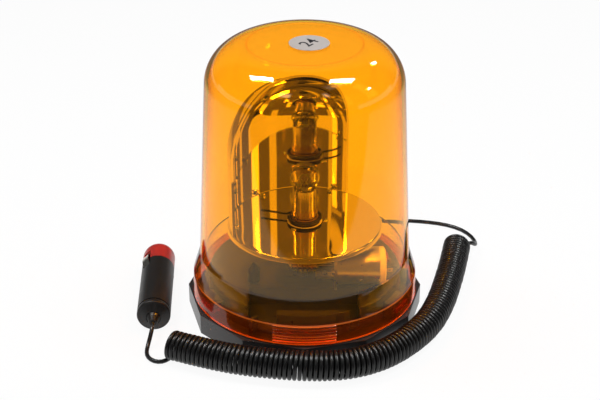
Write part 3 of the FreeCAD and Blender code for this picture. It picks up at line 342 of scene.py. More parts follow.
def rounded(points, radii, steps=8):
    """An open (radius, height) outline with arcs of the given radii at its inner corners."""
    out = [points[0]]
    for before, corner, after, radius in zip(points, points[1:], points[2:], radii):
        a, c, b = (Vector(p) for p in (before, corner, after))
        into, away = (a - c).normalized(), (b - c).normalized()
        turn = math.pi - into.angle(away)
        if radius <= 0 or turn < 1e-4:
            out.append(corner)
            continue
        reach = min(radius * math.tan(turn / 2), 0.49 * (a - c).length, 0.49 * (b - c).length)
        real = reach / math.tan(turn / 2)
        centre = c + (into + away).normalized() * (real / math.cos(turn / 2))
        start, end = c + into * reach - centre, c + away * reach - centre
        for i in range(steps + 1):
            mixed = start.slerp(end, i / steps)
            out.append(tuple(centre + mixed))
    out.append(points[-1])
    return out


def divided(points, longest):
    """The same outline with no piece longer than `longest`."""
    out = [points[0]]
    for a, b in zip(points, points[1:]):
        parts = max(1, math.ceil(math.dist(a, b) / longest - 1e-6))
        out += [(a[0] + (b[0] - a[0]) * i / parts, a[1] + (b[1] - a[1]) * i / parts)
                for i in range(1, parts + 1)]
    return out


def bridge(builder, low, high):
    """Faces between two rings of points, where a ring of one point is a pole."""
    count = max(len(low), len(high))
    if count == 1:
        return
    for i in range(count):
        j = (i + 1) % count
        if len(low) == 1:
            builder.faces.new((low[0], high[j], high[i]))
        elif len(high) == 1:
            builder.faces.new((low[i], low[j], high[0]))
        else:
            builder.faces.new((low[i], low[j], high[j], high[i]))


def turned_mesh(name, outline, angles, reach=None, closed=False):
    """A mesh of revolution from an outline in mm that runs from bottom outside to top.

    Outline points on the axis become poles.  `reach(radius, height, angle, index)` may move a point.
    """
    builder = bmesh.new()
    rows = []
    for index, (radius, height) in enumerate(outline):
        if radius < 1e-6:
            rows.append([builder.verts.new((0, 0, height * MM))])
            continue
        row = []
        for angle in angles:
            far = reach(radius, height, angle, index) if reach else radius
            row.append(builder.verts.new(polar(far, angle, height)))
        rows.append(row)
    pairs = list(zip(rows, rows[1:]))
    if closed:
        pairs.append((rows[-1], rows[0]))
    for low, high in pairs:
        bridge(builder, low, high)
    bmesh.ops.recalc_face_normals(builder, faces=builder.faces)
    return mesh_from(builder, name)


def even_angles(count):
    return [FULL_TURN * i / count for i in range(count)]


WELD = 0.002 * MM


def welded(node_name):
    """A CAD node's mesh with its doubled points joined, as a bmesh."""
    builder = bmesh.new()
    builder.from_mesh(frame["nodes"][node_name].data)
    bmesh.ops.remove_doubles(builder, verts=builder.verts, dist=WELD)
    return builder


def refined(node_name, name, finish, bevel, segments=2, smooth=35):
    """A closed copy of a CAD node with its edges rounded, which stands for it."""
    builder = welded(node_name)
    bmesh.ops.dissolve_limit(builder, angle_limit=math.radians(0.6), verts=builder.verts, edges=builder.edges)
    made = object_from(name, mesh_from(builder, name), finish)
    rounding = made.modifiers.new("edges", "BEVEL")
    rounding.width = bevel * MM
    rounding.segments = segments
    rounding.limit_method = "ANGLE"
    rounding.angle_limit = math.radians(smooth)
    rounding.use_clamp_overlap = True
    mesh = final_mesh(made)
    made.modifiers.clear()
    made.data = mesh
    smooth_by_angle(mesh, smooth)
    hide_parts(node_name)
    return made


# ================================================================ lens and label
lens_low, lens_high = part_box("lens")
LENS = {
    "foot": 73.8, "crease": 72.8, "crease_z": 28.7, "waist": 66.3, "waist_z": 43.0, "wall": 2.5,
    "draft": math.radians(2.03), "shoulder": 26.0, "ring": 0.8,
    "top": lens_high.z / MM, "bottom": lens_low.z / MM,
}
GRIPS = 3
GRIP_HALF = math.radians(15.8)
GRIP_EDGE = math.radians(0.35)
GRIP_START, GRIP_PITCH, GRIP_ROWS, GRIP_DEPTH = 16.6, 2.0, 6, 0.9
FRONT = -math.pi / 2


def lens_outline(inset):
    """Half of the lens wall in mm, from the foot to the top of the dome, set in by a wall."""
    shoulder, draft = LENS["shoulder"], LENS["draft"]
    centre_z = LENS["top"] - shoulder
    tangent_z = centre_z + shoulder * math.sin(draft)
    wall = LENS["waist"] - math.tan(draft) * (tangent_z - LENS["waist_z"])
    centre_r = wall - shoulder * math.cos(draft)
    radius = shoulder - inset
    lower = rounded(
        [(LENS["foot"] - inset, LENS["bottom"]), (LENS["crease"] - inset, LENS["crease_z"] - 0.4 * inset),
         (LENS["waist"] - inset, LENS["waist_z"]),
         (centre_r + radius * math.cos(draft), centre_z + radius * math.sin(draft))], [0.9, 3.0])
    steps = 28
    dome = [(centre_r + radius * math.cos(a), centre_z + radius * math.sin(a))
            for a in (draft + (math.pi / 2 - draft) * i / steps for i in range(1, steps + 1))]
    flat_z = LENS["top"] - inset
    return divided(lower + dome + [(centre_r - LENS["ring"], flat_z), (0.0, flat_z)], 4.0)


def near_grip(angle):
    """1 inside a finger grip, 0 outside, with a short ramp between."""
    step = FULL_TURN / GRIPS
    away = abs((angle - FRONT + step / 2) % step - step / 2)
    return min(1.0, max(0.0, (GRIP_HALF - away) / GRIP_EDGE))


def rib_height(height):
    """How far a grip stands out at a height in mm: six rounded ribs."""
    place = (height - GRIP_START) / GRIP_PITCH
    row = math.floor(place)
    if row < 0 or row >= GRIP_ROWS:
        return 0.0
    inside = (place - row) * GRIP_PITCH
    return GRIP_DEPTH * max(0.0, math.sin(math.pi * min(1.0, inside / 1.3))) ** 0.6


# material numbers on the lens: the deeper skirt, the painted glow on crease, rim and rib tops, and the ring
# round the flat top
SKIRT, PAINTED_GLOW, RING = 1, 2, 3


def dress_lens(mesh, outer):
    """A deeper amber skirt, a bright painted glow on the crease, rim and rib tops, and a ring round the flat
    top.
    """
    for finish in ("amber_skirt", "amber_painted_glow", "amber_ring"):
        mesh.materials.append(FINISH[finish])
    flat = [p[0] for p in outer if p[1] > LENS["top"] - 0.001]
    outside = LENS["foot"] - 0.5 * LENS["wall"]
    for face in mesh.polygons:
        z, radius = face.center.z / MM, face.center.xy.length / MM
        if z > LENS["top"] - 0.3 and flat[1] < radius < flat[0] + 0.1:
            face.material_index = RING
        if z > LENS["crease_z"] + 0.4 or radius < outside - 1.0:
            continue
        # rib tops, the crease line and the foot get the painted glow
        ridge = rib_height(z) > 0.75 * GRIP_DEPTH and radius > LENS["foot"] + 0.4 * GRIP_DEPTH
        rim = abs(z - LENS["crease_z"] + 0.3) < 0.7 or z < LENS["bottom"] + 0.8
        face.material_index = PAINTED_GLOW if ridge or rim else SKIRT


def lens_shell():
    """The clear lens: one closed wall, with fine rows on the skirt where the grips stand out."""
    outer = lens_outline(0.0)
    skirt = [p for p in outer if p[1] < LENS["crease_z"] - 1.5]
    rest = [p for p in outer if p[1] >= LENS["crease_z"] - 1.5]
    fine = divided([skirt[0], rest[0]], 0.16)
    outer = fine[:-1] + rest
    inner = lens_outline(LENS["wall"])
    split = len(outer)
    angles = even_angles(216)
    for i in range(GRIPS):
        middle = FRONT + FULL_TURN * i / GRIPS
        for side in (-1, 1):
            angles += [(middle + side * (GRIP_HALF - GRIP_EDGE * k)) % FULL_TURN
                       for k in (-0.4, 0, 0.5, 1, 1.6)]
    angles = sorted(set(round(a, 6) for a in angles))

    def reach(radius, height, angle, index):
        return radius + (rib_height(height) * near_grip(angle) if index < len(fine) else 0.0)

    mesh = turned_mesh("lens_shell", outer + inner[::-1], angles, reach, closed=True)
    smooth_by_angle(mesh, 40)
    made = object_from("lens_shell", mesh, "amber_lens")
    dress_lens(mesh, outer)
    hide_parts("lens")
    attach(made, "lens")


LUG = {"count": 3, "first": math.radians(-30), "half": math.radians(6), "steps": 10,
       "inner": 65.4, "outer": 71.1, "low": 18.6, "high": 21.6}


def lug_mesh(name, middle):
    """One lug inside the skirt: a short block bent round the axis."""
    builder = bmesh.new()
    half, steps = LUG["half"], LUG["steps"]
    angles = [middle - half + 2 * half * i / steps for i in range(steps + 1)]
    corners = [("inner", "low"), ("outer", "low"), ("outer", "high"), ("inner", "high")]
    rings = [[builder.verts.new(polar(LUG[side], a, LUG[level])) for a in angles] for side, level in corners]
    for low, high in zip(rings, rings[1:] + rings[:1]):
        for i in range(steps):
            builder.faces.new((low[i], low[i + 1], high[i + 1], high[i]))
    for end in (0, -1):
        builder.faces.new([ring[end] for ring in rings])
    bmesh.ops.recalc_face_normals(builder, faces=builder.faces)
    return mesh_from(builder, name)


def bayonet_lugs():
    """The lugs inside the skirt that hang the lens in the base."""
    for turn in range(LUG["count"]):
        name = "bayonet_lug_%d" % (turn + 1)
        made = object_from(name, lug_mesh(name, LUG["first"] + FULL_TURN * turn / LUG["count"]), "amber_lens")
        made.data.materials[0] = FINISH["amber_skirt"]
        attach(made, "lens")


def label():
    """The round foil label on the top, with its printed digits."""
    low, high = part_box("rating_label")
    centre = (low + high) / 2
    radius = (high.x - low.x) / 2 / MM
    bottom, top = low.z / MM, high.z / MM
    outline = [(0, bottom), (radius, bottom), (radius, top - 0.1), (radius - 0.1, top), (0, top)]
    mesh = turned_mesh("label_disc", outline, even_angles(96))
    mesh.transform(Matrix.Translation((centre.x, centre.y, 0)))
    smooth_by_angle(mesh)
    disc = object_from("label_disc", mesh, "label_foil")
    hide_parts("rating_label")
    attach(disc, "lens")

    words = bpy.data.curves.new("label_digits", "FONT")
    words.body = "24"
    words.size = 12.0 * MM
    words.align_x, words.align_y = "CENTER", "CENTER"
    words.extrude = 0.03 * MM
    words.offset = 0.12 * MM
    holder = added("digits", words)
    mesh = final_mesh(holder)
    bpy.data.objects.remove(holder)
    lay = Matrix.Translation((centre.x, centre.y, high.z - 0.02 * MM))
    mesh.transform(lay @ Matrix.Rotation(math.radians(55), 4, "Z"))
    digits = object_from("label_digits", mesh, "label_ink")
    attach(digits, "lens")


# ================================================================ rotor
MIRROR = {"radius": 49.0, "sheet": 0.8, "foot": 63.3, "centre": 113.5, "back": 12.4, "lip": 1.0,
          "facing": math.radians(-50.4)}


def mirror_row(radius, level):
    """Radius and height of one row of the mirror shell; level runs 0 to 1 from foot to crown."""
    straight = MIRROR["centre"] - MIRROR["foot"]
    crown = math.acos(MIRROR["back"] / radius)
    total = straight + radius * crown
    along = level * total
    if along <= straight:
        return radius, MIRROR["foot"] + along
    turn = (along - straight) / radius
    return radius * math.cos(turn), MIRROR["centre"] + radius * math.sin(turn)


def mirror_grid(radius, rows, columns):
    """Rows of points on a capsule, cut by the mirror's opening plane."""
    grid = []
    for i in range(rows + 1):
        row_radius, height = mirror_row(radius, i / rows)
        half = math.acos(min(1.0, MIRROR["back"] / row_radius))
        row = []
        for j in range(columns + 1):
            angle = MIRROR["facing"] + math.pi + half * (2 * j / columns - 1)
            row.append(Vector((row_radius * math.cos(angle), row_radius * math.sin(angle), height)) * MM)
        grid.append(row)
    return grid


def reflector():
    """The tall curved mirror: a deep-drawn shell with a narrow turned lip."""
    rows, columns = 120, 96
    outer = mirror_grid(MIRROR["radius"], rows, columns)
    inner = mirror_grid(MIRROR["radius"] - MIRROR["sheet"], rows, columns)
    builder = bmesh.new()
    skins = [[[builder.verts.new(p) for p in row] for row in grid] for grid in (outer, inner)]
    for skin in skins:
        for low, high in zip(skin, skin[1:]):
            for i in range(columns):
                builder.faces.new((low[i], low[i + 1], high[i + 1], high[i]))

    facing = Vector((math.cos(MIRROR["facing"]), math.sin(MIRROR["facing"]), 0))
    rims = [[row[0] for row in skin] + [row[-1] for row in reversed(skin)] for skin in skins]
    lip = []
    for vert in rims[0]:
        flat = vert.co - facing * vert.co.dot(facing)
        axis_point = Vector((0, 0, min(vert.co.z, MIRROR["centre"] * MM)))
        outward = (flat - axis_point).normalized()
        edge = vert.co + outward * MIRROR["lip"] * MM
        lip.append((builder.verts.new(edge), builder.verts.new(edge - facing * MIRROR["sheet"] * MM)))
    for i in range(len(lip) - 1):
        builder.faces.new((rims[1][i], rims[1][i + 1], lip[i + 1][0], lip[i][0]))
        builder.faces.new((lip[i][0], lip[i + 1][0], lip[i + 1][1], lip[i][1]))
        builder.faces.new((lip[i][1], lip[i + 1][1], rims[0][i + 1], rims[0][i]))
    bmesh.ops.remove_doubles(builder, verts=builder.verts, dist=0.01 * MM)
    mesh = mesh_from(builder, "reflector_shell")
    smooth_by_angle(mesh, 45)
    made = object_from("reflector_shell", mesh, "mirror_metal")
    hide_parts("reflector")
    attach(made, "rotor")


DISC = {"top": 63.3, "sheet": 1.2, "radius": 50.2, "bore": 11.35, "drop": 3.4}


def turntable():
    """The bright disc with its rolled-down rim."""
    top, sheet, radius, bore = DISC["top"], DISC["sheet"], DISC["radius"], DISC["bore"]
    rim = top - DISC["drop"]
    outline = rounded(
        [(bore, top), (radius, top), (radius, rim), (radius - sheet, rim), (radius - sheet, top - sheet),
         (bore, top - sheet)], [1.4, 0.5, 0.5, 0.4])
    mesh = turned_mesh("turntable_disc", divided(outline, 3.0), even_angles(180), closed=True)
    smooth_by_angle(mesh, 40)
    made = object_from("turntable_disc", mesh, "mirror_metal")
    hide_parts("turntable")
    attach(made, "rotor")


def hub_collar():
    """The pale hub, with the black collar that stands through the disc."""
    made = refined("rotor_hub", "hub_collar", "nylon", 0.35, 3)
    made.data.materials.append(FINISH["collar_black"])
    disc_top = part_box("turntable")[1].z
    for face in made.data.polygons:
        if face.center.z > disc_top:
            face.material_index = 1
    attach(made, "rotor")


# ================================================================ lamp
BULB_WALL, BULB_NECK, BULB_STEPS = 0.6, 7.0, 26


def bulb_outline(bottom, top, radius, inset):
    """Half of the glass in mm, from the middle of its foot to the top, set in by `inset`."""
    centre = top - radius
    r, neck = radius - inset, BULB_NECK - inset
    start = -math.acos(neck / r)
    turns = [start + (math.pi / 2 - start) * i / BULB_STEPS for i in range(BULB_STEPS + 1)]
    arc = [(r * math.cos(a), centre + r * math.sin(a)) for a in turns]
    arc[-1] = (0.0, centre + r)
    foot = rounded([(0.0, bottom + inset), (neck, bottom + inset), arc[0]], [1.2])
    return divided(foot, 2.0)[:-1] + arc


def lamp_bulb():
    """The round glass envelope as one closed thin shell."""
    low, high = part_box("lamp_glass")
    radius = (high.x - low.x) / 2 / MM
    builder = bmesh.new()
    for inset in (0.0, BULB_WALL):
        skin = turned_mesh("bulb_skin", bulb_outline(low.z / MM, high.z / MM, radius, inset), even_angles(64))
        if inset:
            skin.flip_normals()
        builder.from_mesh(skin)
    mesh = mesh_from(builder, "lamp_bulb")
    smooth_by_angle(mesh, 50)
    made = object_from("lamp_bulb", mesh, "lamp_glass")
    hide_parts("lamp_glass")
    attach(made, "base")


# ================================================================ rivets
def islands(node_name):
    """Low and high corner of each separate solid in a CAD node."""
    builder = welded(node_name)
    builder.verts.ensure_lookup_table()
    seen, boxes = set(), []
    for start in builder.verts:
        if start.index in seen:
            continue
        group, todo = [], [start]
        seen.add(start.index)
        while todo:
            vert = todo.pop()
            group.append(vert.co)
            for edge in vert.link_edges:
                other = edge.other_vert(vert)
                if other.index not in seen:
                    seen.add(other.index)
                    todo.append(other)
        boxes.append((Vector([min(c[k] for c in group) for k in range(3)]),
                      Vector([max(c[k] for c in group) for k in range(3)])))
    builder.free()
    return boxes


HEAD_HEIGHT = 0.5 * MM
HEAD_TO_SHANK = 1.8
DOME_FLAT = 0.27


def moved(tree, mesh, height, flat=1.0):
    """A mesh node's mesh lifted along Z and flattened."""
    lift = node(tree, "ShaderNodeCombineXYZ", [("Z", height)])
    feeds = [("Geometry", mesh.outputs["Mesh"]), ("Translation", lift.outputs[0])]
    return node(tree, "GeometryNodeTransform", feeds, Scale=(1.0, 1.0, flat)).outputs["Geometry"]


def rivet_tree():
    """Tubular rivets on points: a domed head above, a flat one below, and the shank between."""
    number, shape = "NodeSocketFloat", "NodeSocketGeometry"
    tree, given = new_group(
        "rivets_on_points",
        [("Points", shape, None), ("Head Radius", number, 1.8 * MM), ("Head Height", number, HEAD_HEIGHT),
         ("Shank Radius", number, 1.0 * MM), ("Grip", number, 2.7 * MM),
         ("Finish", "NodeSocketMaterial", None), ("Seed", "NodeSocketInt", 3)],
        [("Rivets", shape)], "GeometryNodeTree")
    dome = node(tree, "GeometryNodeMeshUVSphere", [("Radius", given["Head Radius"])], Segments=32, Rings=16)
    disc = node(tree, "GeometryNodeMeshCylinder",
                [("Radius", given["Head Radius"]), ("Depth", given["Head Height"])], Vertices=32)
    shank = node(tree, "GeometryNodeMeshCylinder",
                 [("Radius", given["Shank Radius"]), ("Depth", given["Grip"])], Vertices=24)
    up = math_of(tree, "MULTIPLY", given["Grip"], 0.5)
    below = math_of(tree, "MULTIPLY", given["Grip"], -0.5)
    down = math_of(tree, "MULTIPLY_ADD", given["Head Height"], -0.5, below)
    join = node(tree, "GeometryNodeJoinGeometry")
    for part in (moved(tree, dome, up, DOME_FLAT), moved(tree, disc, down), shank.outputs["Mesh"]):
        tree.links.new(part, join.inputs[0])
    spin = node(tree, "FunctionNodeRandomValue",
                [(0, (0, 0, 0)), (1, (0, 0, FULL_TURN)), ("Seed", given["Seed"])], data_type="FLOAT_VECTOR")
    laid = node(tree, "GeometryNodeInstanceOnPoints",
                [("Points", given["Points"]), ("Instance", join.outputs[0]), ("Rotation", spin.outputs[0])])
    real = node(tree, "GeometryNodeRealizeInstances", [("Geometry", laid.outputs["Instances"])])
    dressed = node(tree, "GeometryNodeSetMaterial",
                   [("Geometry", real.outputs[0]), ("Material", given["Finish"])])
    return finished(tree, Rivets=dressed.outputs[0])


def grown(name, tree, points, finish, **values):
    """Run a points tree on a list of places and keep what it makes as a plain mesh."""
    seeds = bpy.data.meshes.new(name + "_points")
    seeds.from_pydata([tuple(p) for p in points], [], [])
    holder = added(name + "_points", seeds)
    grow = holder.modifiers.new("grow", "NODES")
    grow.node_group = tree
    sockets = {item.name: item.identifier for item in tree.interface.items_tree if item.in_out == "INPUT"}
    grow[sockets["Finish"]] = FINISH[finish]
    for label, value in values.items():
        grow[sockets[label.replace("_", " ")]] = value
    mesh = final_mesh(holder)
    bpy.data.objects.remove(holder)
    return mesh


def rotor_rivets():
    """The three hub rivets and the three that hold the mirror's tabs."""
    tree = rivet_tree()
    builder = bmesh.new()
    for seed, name in enumerate(("hub_rivets", "reflector_rivets"), 3):
        boxes = islands(name)
        low, high = boxes[0]
        head = (high.x - low.x) / 2
        points = [(a + b) / 2 for a, b in boxes]
        mesh = grown(name, tree, points, "zinc_screw", Head_Radius=head, Head_Height=HEAD_HEIGHT,
                     Shank_Radius=head / HEAD_TO_SHANK, Grip=high.z - low.z - 2 * HEAD_HEIGHT, Seed=seed)
        builder.from_mesh(mesh)
    bmesh.ops.recalc_face_normals(builder, faces=builder.faces)
    mesh = mesh_from(builder, "rotor_rivets")
    smooth_by_angle(mesh, 40)
    made = object_from("rotor_rivets", mesh, "zinc_screw")
    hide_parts("hub_rivets", "reflector_rivets")
    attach(made, "rotor")


# ================================================================ cord
CORD_RADIUS = 1.4
COIL_OUTER = 9.55
TURN_POINTS = 16
TURN_PITCH = 2.98
PIECE_SIDES = 3

BASE_LEAD = [
    (23.4, 87.32, 7.4), (27.5, 95.6, 4.8), (35.5, 104.0, 1.9), (47.5, 109.2, 1.5),
    (62.0, 111.2, 1.5), (77.0, 110.9, 1.5), (92.0, 108.6, 1.5), (105.0, 104.6, 1.5),
    (115.5, 97.2, 1.5), (121.6, 86.6, 1.5), (123.0, 75.6, 2.4), (121.0, 66.6, 6.6),
    (115.6, 61.2, 12.6)]
COIL = [
    (-83.0, -65.0, 9.55), (-66.0, -72.5, 9.55), (-44.0, -80.5, 9.55), (-20.0, -85.5, 9.55),
    (4.0, -88.2, 9.55), (27.0, -86.4, 9.55), (48.0, -76.6, 9.55), (65.0, -60.5, 9.55),
    (79.5, -40.5, 9.55), (89.5, -15.5, 9.55), (96.6, 11.0, 9.55), (102.6, 36.0, 9.55),
    (107.6, 60.7, 9.55)]
PLUG_LEAD = [
    (-96.76, -46.39, 10.9), (-97.7, -51.2, 7.2), (-99.2, -56.0, 2.6), (-99.6, -61.8, 1.5),
    (-97.9, -67.6, 1.5), (-93.6, -71.8, 1.5), (-88.4, -72.2, 1.5), (-84.6, -68.8, 1.6)]


def spline_curve(name, points, radius=0.0, sides=0, resolution=12):
    """One open NURBS spline through control points in metres."""
    curve = bpy.data.curves.new(name, "CURVE")
    curve.dimensions = "3D"
    curve.resolution_u = resolution
    curve.bevel_depth = radius
    curve.bevel_resolution = sides
    curve.use_fill_caps = radius > 0
    spline = curve.splines.new("NURBS")
    spline.points.add(len(points) - 1)
    for place, point in zip(spline.points, points):
        place.co = (*point, 1)
    spline.order_u = 3
    spline.use_endpoint_u = True
    return added(name, curve)


def line_of(points):
    """The points of the smooth line that a route's spline makes."""
    route = spline_curve("route", points, resolution=24)
    line = [v.co.copy() for v in final_mesh(route).vertices]
    bpy.data.objects.remove(route)
    return line


def along(line, steps):
    """Point and direction at even steps of a share of the line's length."""
    lengths = [0.0]
    for a, b in zip(line, line[1:]):
        lengths.append(lengths[-1] + (b - a).length)
    out, index = [], 0
    for step in steps:
        goal = step * lengths[-1]
        while index < len(line) - 2 and lengths[index + 1] < goal:
            index += 1
        span = lengths[index + 1] - lengths[index]
        share = (goal - lengths[index]) / span if span else 0.0
        out.append((line[index].lerp(line[index + 1], share), (line[index + 1] - line[index]).normalized()))
    return out, lengths[-1]


def helix_points():
    """The curly part's control points, wound right-handed round the coil's own line."""
    line = line_of([Vector(p) * MM for p in COIL])
    _, length = along(line, [0.0])
    turns = round(length / (TURN_PITCH * MM))
    count = turns * TURN_POINTS
    places, _ = along(line, [i / count for i in range(count + 1)])
    shrink = math.cos(math.pi / TURN_POINTS)
    radius = (COIL_OUTER - CORD_RADIUS) * MM / shrink
    points = []
    for i, (centre, ahead) in enumerate(places):
        side = UP.cross(ahead).normalized()
        over = ahead.cross(side)
        angle = -math.pi / 2 + FULL_TURN * i / TURN_POINTS
        wobble = 1 + 0.012 * math.sin(1.7 * i / TURN_POINTS) * math.sin(0.31 * i / TURN_POINTS + 1)
        lift = over * radius * math.sin(angle)
        points.append(centre - side * radius * wobble * math.cos(angle) + lift)
    return points


BASE_CORNER, BASE_SIDES, GROMMET_REACH = 77.0, 12, 8.0
EXIT_FACING, EXIT_HEIGHT = math.radians(75), 7.4
PLUG_TAIL, PLUG_LINE, TAIL_INSIDE = (-97.2, -36.4, 10.9), (-0.0439, 0.999, 0), 6.0


def cord_route():
    """The grommet's tip and every control point of the cord, from the base to inside the plug."""
    side = BASE_CORNER * math.cos(math.pi / BASE_SIDES)
    tip = Vector((math.cos(EXIT_FACING), math.sin(EXIT_FACING), 0)) * (side + GROMMET_REACH) * MM
    tip.z = EXIT_HEIGHT * MM
    plug_end = Vector(PLUG_TAIL) * MM - Vector(PLUG_LINE).normalized() * TAIL_INSIDE * MM
    base_lead = [Vector(p) * MM for p in BASE_LEAD]
    plug_lead = [Vector(p) * MM for p in reversed(PLUG_LEAD)]
    return tip, [tip] + base_lead + helix_points()[::-1] + plug_lead + [plug_end]


def cord():
    """The whole cord as one curve: the base's lead, the coil and the plug's lead."""
    tip, points = cord_route()
    made = spline_curve("curly_cord", points, CORD_RADIUS * MM, PIECE_SIDES, 2)
    made.data.materials.append(FINISH["cord_jacket"])
    bare = line_of(points)
    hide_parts("cord_coil", "cord_lead_base", "cord_lead_plug")
    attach(made, "base")


# ================================================================ plug and base
def plug_pieces():
    """The plug's rear cap and strain relief with soft edges."""
    for name, bevel in (("plug_rear_cap", 0.35), ("plug_strain_relief", 0.3)):
        made = refined(name, name + "_moulded", "plug_black", bevel)
        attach(made, "base")


def base_moulding():
    """The faceted black base with its edges just broken."""
    made = refined("base_housing", "base_moulding", "black_abs", 0.45, smooth=22)
    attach(made, "base")


# ================================================================ stage, lamps and camera
# what a ray sees straight through clear pieces; above 1, which makes up for the light that the lens takes
WHITE = 1.32
# the near edge of the pale paper on the floor, its slope and softness, and where its level falls off, in metres
PAPER_EDGE, PAPER_SLOPE, PAPER_SOFT = -0.207, 0.10, 0.008
PAPER_FADE = (0.20, 0.62)
# the paper's level near the object, far from it, and the level beside the paper
PAPER_OFF_SURFACE = (0.78, 0.12, 0.02)
PAPER_THROUGH_LENS = (1.20, 0.25, 0.19)
FLOOR_GLOW = 0.93


def straight_through(tree, rays):
    """WHITE for a ray that has passed through clear pieces and met no mirror, 0 for any other."""
    unbounced = ranged(tree, rays.outputs["Glossy Depth"], 0.4, 0.6, WHITE, 0.0)
    return math_of(tree, "MULTIPLY", unbounced, rays.outputs["Is Transmission Ray"])


def paper_level(tree, rays):
    """How bright the floor looks off a surface, and through the lens."""
    place = object_place(tree)
    split = node(tree, "ShaderNodeSeparateXYZ", [(0, place)]).outputs
    edge = math_of(tree, "MULTIPLY_ADD", split["X"], -PAPER_SLOPE, split["Y"])
    on_paper = ranged(tree, edge, PAPER_EDGE - PAPER_SOFT, PAPER_EDGE + PAPER_SOFT, 0.0, 1.0)
    distance = node(tree, "ShaderNodeVectorMath", [(0, place)], operation="LENGTH").outputs["Value"]
    levels = []
    for near, far, room in (PAPER_OFF_SURFACE, PAPER_THROUGH_LENS):
        levels.append(mix_of(tree, "FLOAT", on_paper, room, ranged(tree, distance, *PAPER_FADE, near, far)))
    through = math_of(tree, "MAXIMUM", levels[1], straight_through(tree, rays))
    return mix_of(tree, "FLOAT", rays.outputs["Is Transmission Ray"], levels[0], through)


def studio_floor():
    """A pale floor that keeps a soft shadow; it is white to the camera, and WHITE through the lens."""
    mesh = bpy.data.meshes.new("floor")
    half = 4.0
    corners = [(-half, -half, 0), (half, -half, 0), (half, half, 0), (-half, half, 0)]
    mesh.from_pydata(corners, [], [(0, 1, 2, 3)])
    made = added("floor", mesh)
    finish, tree, body = shader("studio_floor", 0.9)
    body.inputs["Base Color"].default_value = (0.80, 0.80, 0.80, 1)
    rays = node(tree, "ShaderNodeLightPath")
    seen = rays.outputs["Is Camera Ray"]
    level = mix_of(tree, "FLOAT", seen, paper_level(tree, rays), 1.0)
    glow = node(tree, "ShaderNodeEmission", [("Strength", level)], Color=(1, 1, 1, 1))
    looked_at = math_of(tree, "MAXIMUM", seen, rays.outputs["Is Glossy Ray"])
    mix_shaders(tree, math_of(tree, "MULTIPLY", looked_at, FLOOR_GLOW), body, glow)
    mesh.materials.append(finish)


def window(tree, value, low, high, soft=0.02):
    """1 between two values, 0 outside, with soft ends."""
    rise = ranged(tree, value, low - soft, low + soft, 0.0, 1.0)
    fall = ranged(tree, value, high - soft, high + soft, 1.0, 0.0)
    return math_of(tree, "MULTIPLY", rise, fall)


def card(tree, azimuth, height, sides, elevations, level):
    """A bright card in the studio, between two azimuths and two elevations in degrees."""
    across = window(tree, azimuth, *[math.radians(side) for side in sides])
    upward = window(tree, height, *[math.sin(math.radians(edge)) for edge in elevations])
    return math_of(tree, "MULTIPLY", math_of(tree, "MULTIPLY", across, upward), level)


# azimuths from the front towards +X, elevations, level
CARDS = [
    ((-115, -60), (-20, 7), 0.75), ((60, 115), (-20, 7), 0.75),
    ((-38, -21), (44, 54), 3.0), ((27, 35), (44, 54), 2.5),
    ((45, 92), (60, 70), 0.9), ((115, 180), (-20, 3), 0.5), ((-180, -115), (-20, 3), 0.5)]
INNER_CARDS = [((78, 93), (9, 50), 2.6), ((46, 58), (12, 40), 1.2), ((-44, -38), (15, 40), 1.0)]
ROOM_OUTSIDE, ROOM_INSIDE = 0.06, 0.20
BACKDROP, BACKDROP_EDGE = 0.95, (0.62, 0.72)


def brightest(tree, levels):
    """The largest of several values."""
    result = levels[0]
    for level in levels[1:]:
        result = math_of(tree, "MAXIMUM", result, level)
    return result


def studio_world():
    """A dim room with bright cards and a white backdrop round the object; white to the camera."""
    world = bpy.data.worlds.new("studio")
    bpy.context.scene.world = world
    world.use_nodes = True
    tree = world.node_tree
    back = tree.nodes["Background"]
    back.inputs["Color"].default_value = (1, 1, 1, 1)
    way = node(tree, "ShaderNodeTexCoord").outputs["Generated"]
    split = node(tree, "ShaderNodeSeparateXYZ", [(0, way)]).outputs
    azimuth = math_of(tree, "ARCTAN2", split["X"], math_of(tree, "MULTIPLY", split["Y"], -1.0))
    lit = [card(tree, azimuth, split["Z"], *row) for row in CARDS]
    inner = [card(tree, azimuth, split["Z"], *row) for row in INNER_CARDS]
    backdrop = ranged(tree, split["Y"], *BACKDROP_EDGE, ROOM_INSIDE, BACKDROP)
    rays = node(tree, "ShaderNodeLightPath")
    outside = brightest(tree, lit + [ROOM_OUTSIDE])
    inside = brightest(tree, lit + inner + [backdrop, straight_through(tree, rays)])
    passed = mix_of(tree, "FLOAT", rays.outputs["Is Transmission Ray"], outside, inside)
    seen = mix_of(tree, "FLOAT", rays.outputs["Is Camera Ray"], passed, 1.0)
    tree.links.new(seen, back.inputs["Strength"])


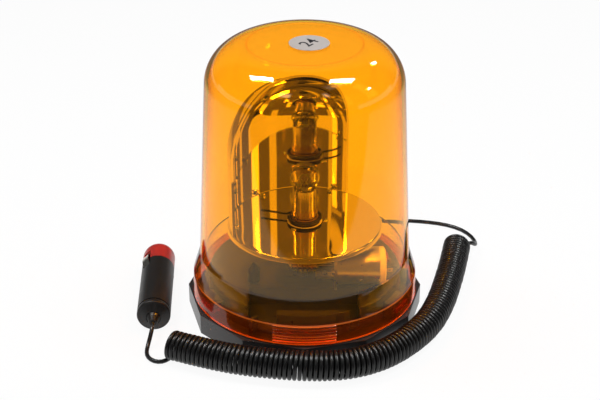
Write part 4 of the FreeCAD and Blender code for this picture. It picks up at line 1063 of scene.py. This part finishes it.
def softbox(name, azimuth, elevation, distance, width, height, power, target=(0, -0.03, 0.12)):
    """A rectangular lamp that looks at the object from a direction in degrees; azimuth 0 is the front."""
    a, e = math.radians(azimuth), math.radians(elevation)
    away = Vector((math.sin(a) * math.cos(e), -math.cos(a) * math.cos(e), math.sin(e)))
    lamp = bpy.data.lights.new(name, "AREA")
    lamp.shape = "RECTANGLE"
    lamp.size, lamp.size_y = width, height
    lamp.energy = power
    made = added(name, lamp)
    made.location = Vector(target) + away * distance
    made.rotation_euler = away.to_track_quat("Z", "Y").to_euler()
    return made


# name, azimuth, elevation, distance, width, height, watts
LAMPS = [
    ("softbox_left", -107, 61, 1.0, 0.19, 0.32, 6.0), ("softbox_right", 97, 65, 1.0, 0.19, 0.32, 6.0),
    ("window_back", 144, 37, 1.2, 0.10, 0.10, 0.8), ("window_right", 87, 31, 1.2, 0.09, 0.09, 0.7)]
FILL_LAMP = ("front_fill", 0, 55, 1.4, 0.9, 0.5, 4.5)


def studio_lamps():
    """The lamps, and a soft fill that shows in no reflection."""
    for row in LAMPS:
        softbox(*row)
    fill = softbox(*FILL_LAMP)
    fill.visible_glossy = False
    fill.visible_transmission = False


CAMERA_PLACE = (0.0, -0.7781, 0.4912)
CAMERA_DOWN, CAMERA_ASIDE = 27.99, 0.22
CAMERA_LENS, CAMERA_SENSOR = 82.13, 36.0


def camera():
    """The viewing angle: 28 degrees down from in front."""
    lens = bpy.data.cameras.new("camera")
    lens.lens = CAMERA_LENS
    lens.sensor_width = CAMERA_SENSOR
    made = added("camera", lens)
    made.location = CAMERA_PLACE
    made.rotation_euler = (math.radians(90 - CAMERA_DOWN), 0.0, math.radians(CAMERA_ASIDE))
    bpy.context.scene.camera = made


# ================================================================ assembly
def dress_remaining_nodes():
    """Give every CAD node that still shows its finish."""
    slots = {row["node"]: row["material_slot"] for row in frame["record"]["subparts"]}
    for name, made in frame["nodes"].items():
        made.data.materials.clear()
        made.data.materials.append(FINISH[slots[name]])


def main():
    scene = bpy.context.scene
    scene.view_settings.view_transform = "Standard"
    camera()
    studio_world()
    studio_floor()
    studio_lamps()
    dress_remaining_nodes()
    plug_pieces()
    cord()
    lens_shell()
    bayonet_lugs()
    label()
    reflector()
    turntable()
    hub_collar()
    lamp_bulb()
    rotor_rivets()
    base_moulding()


main()
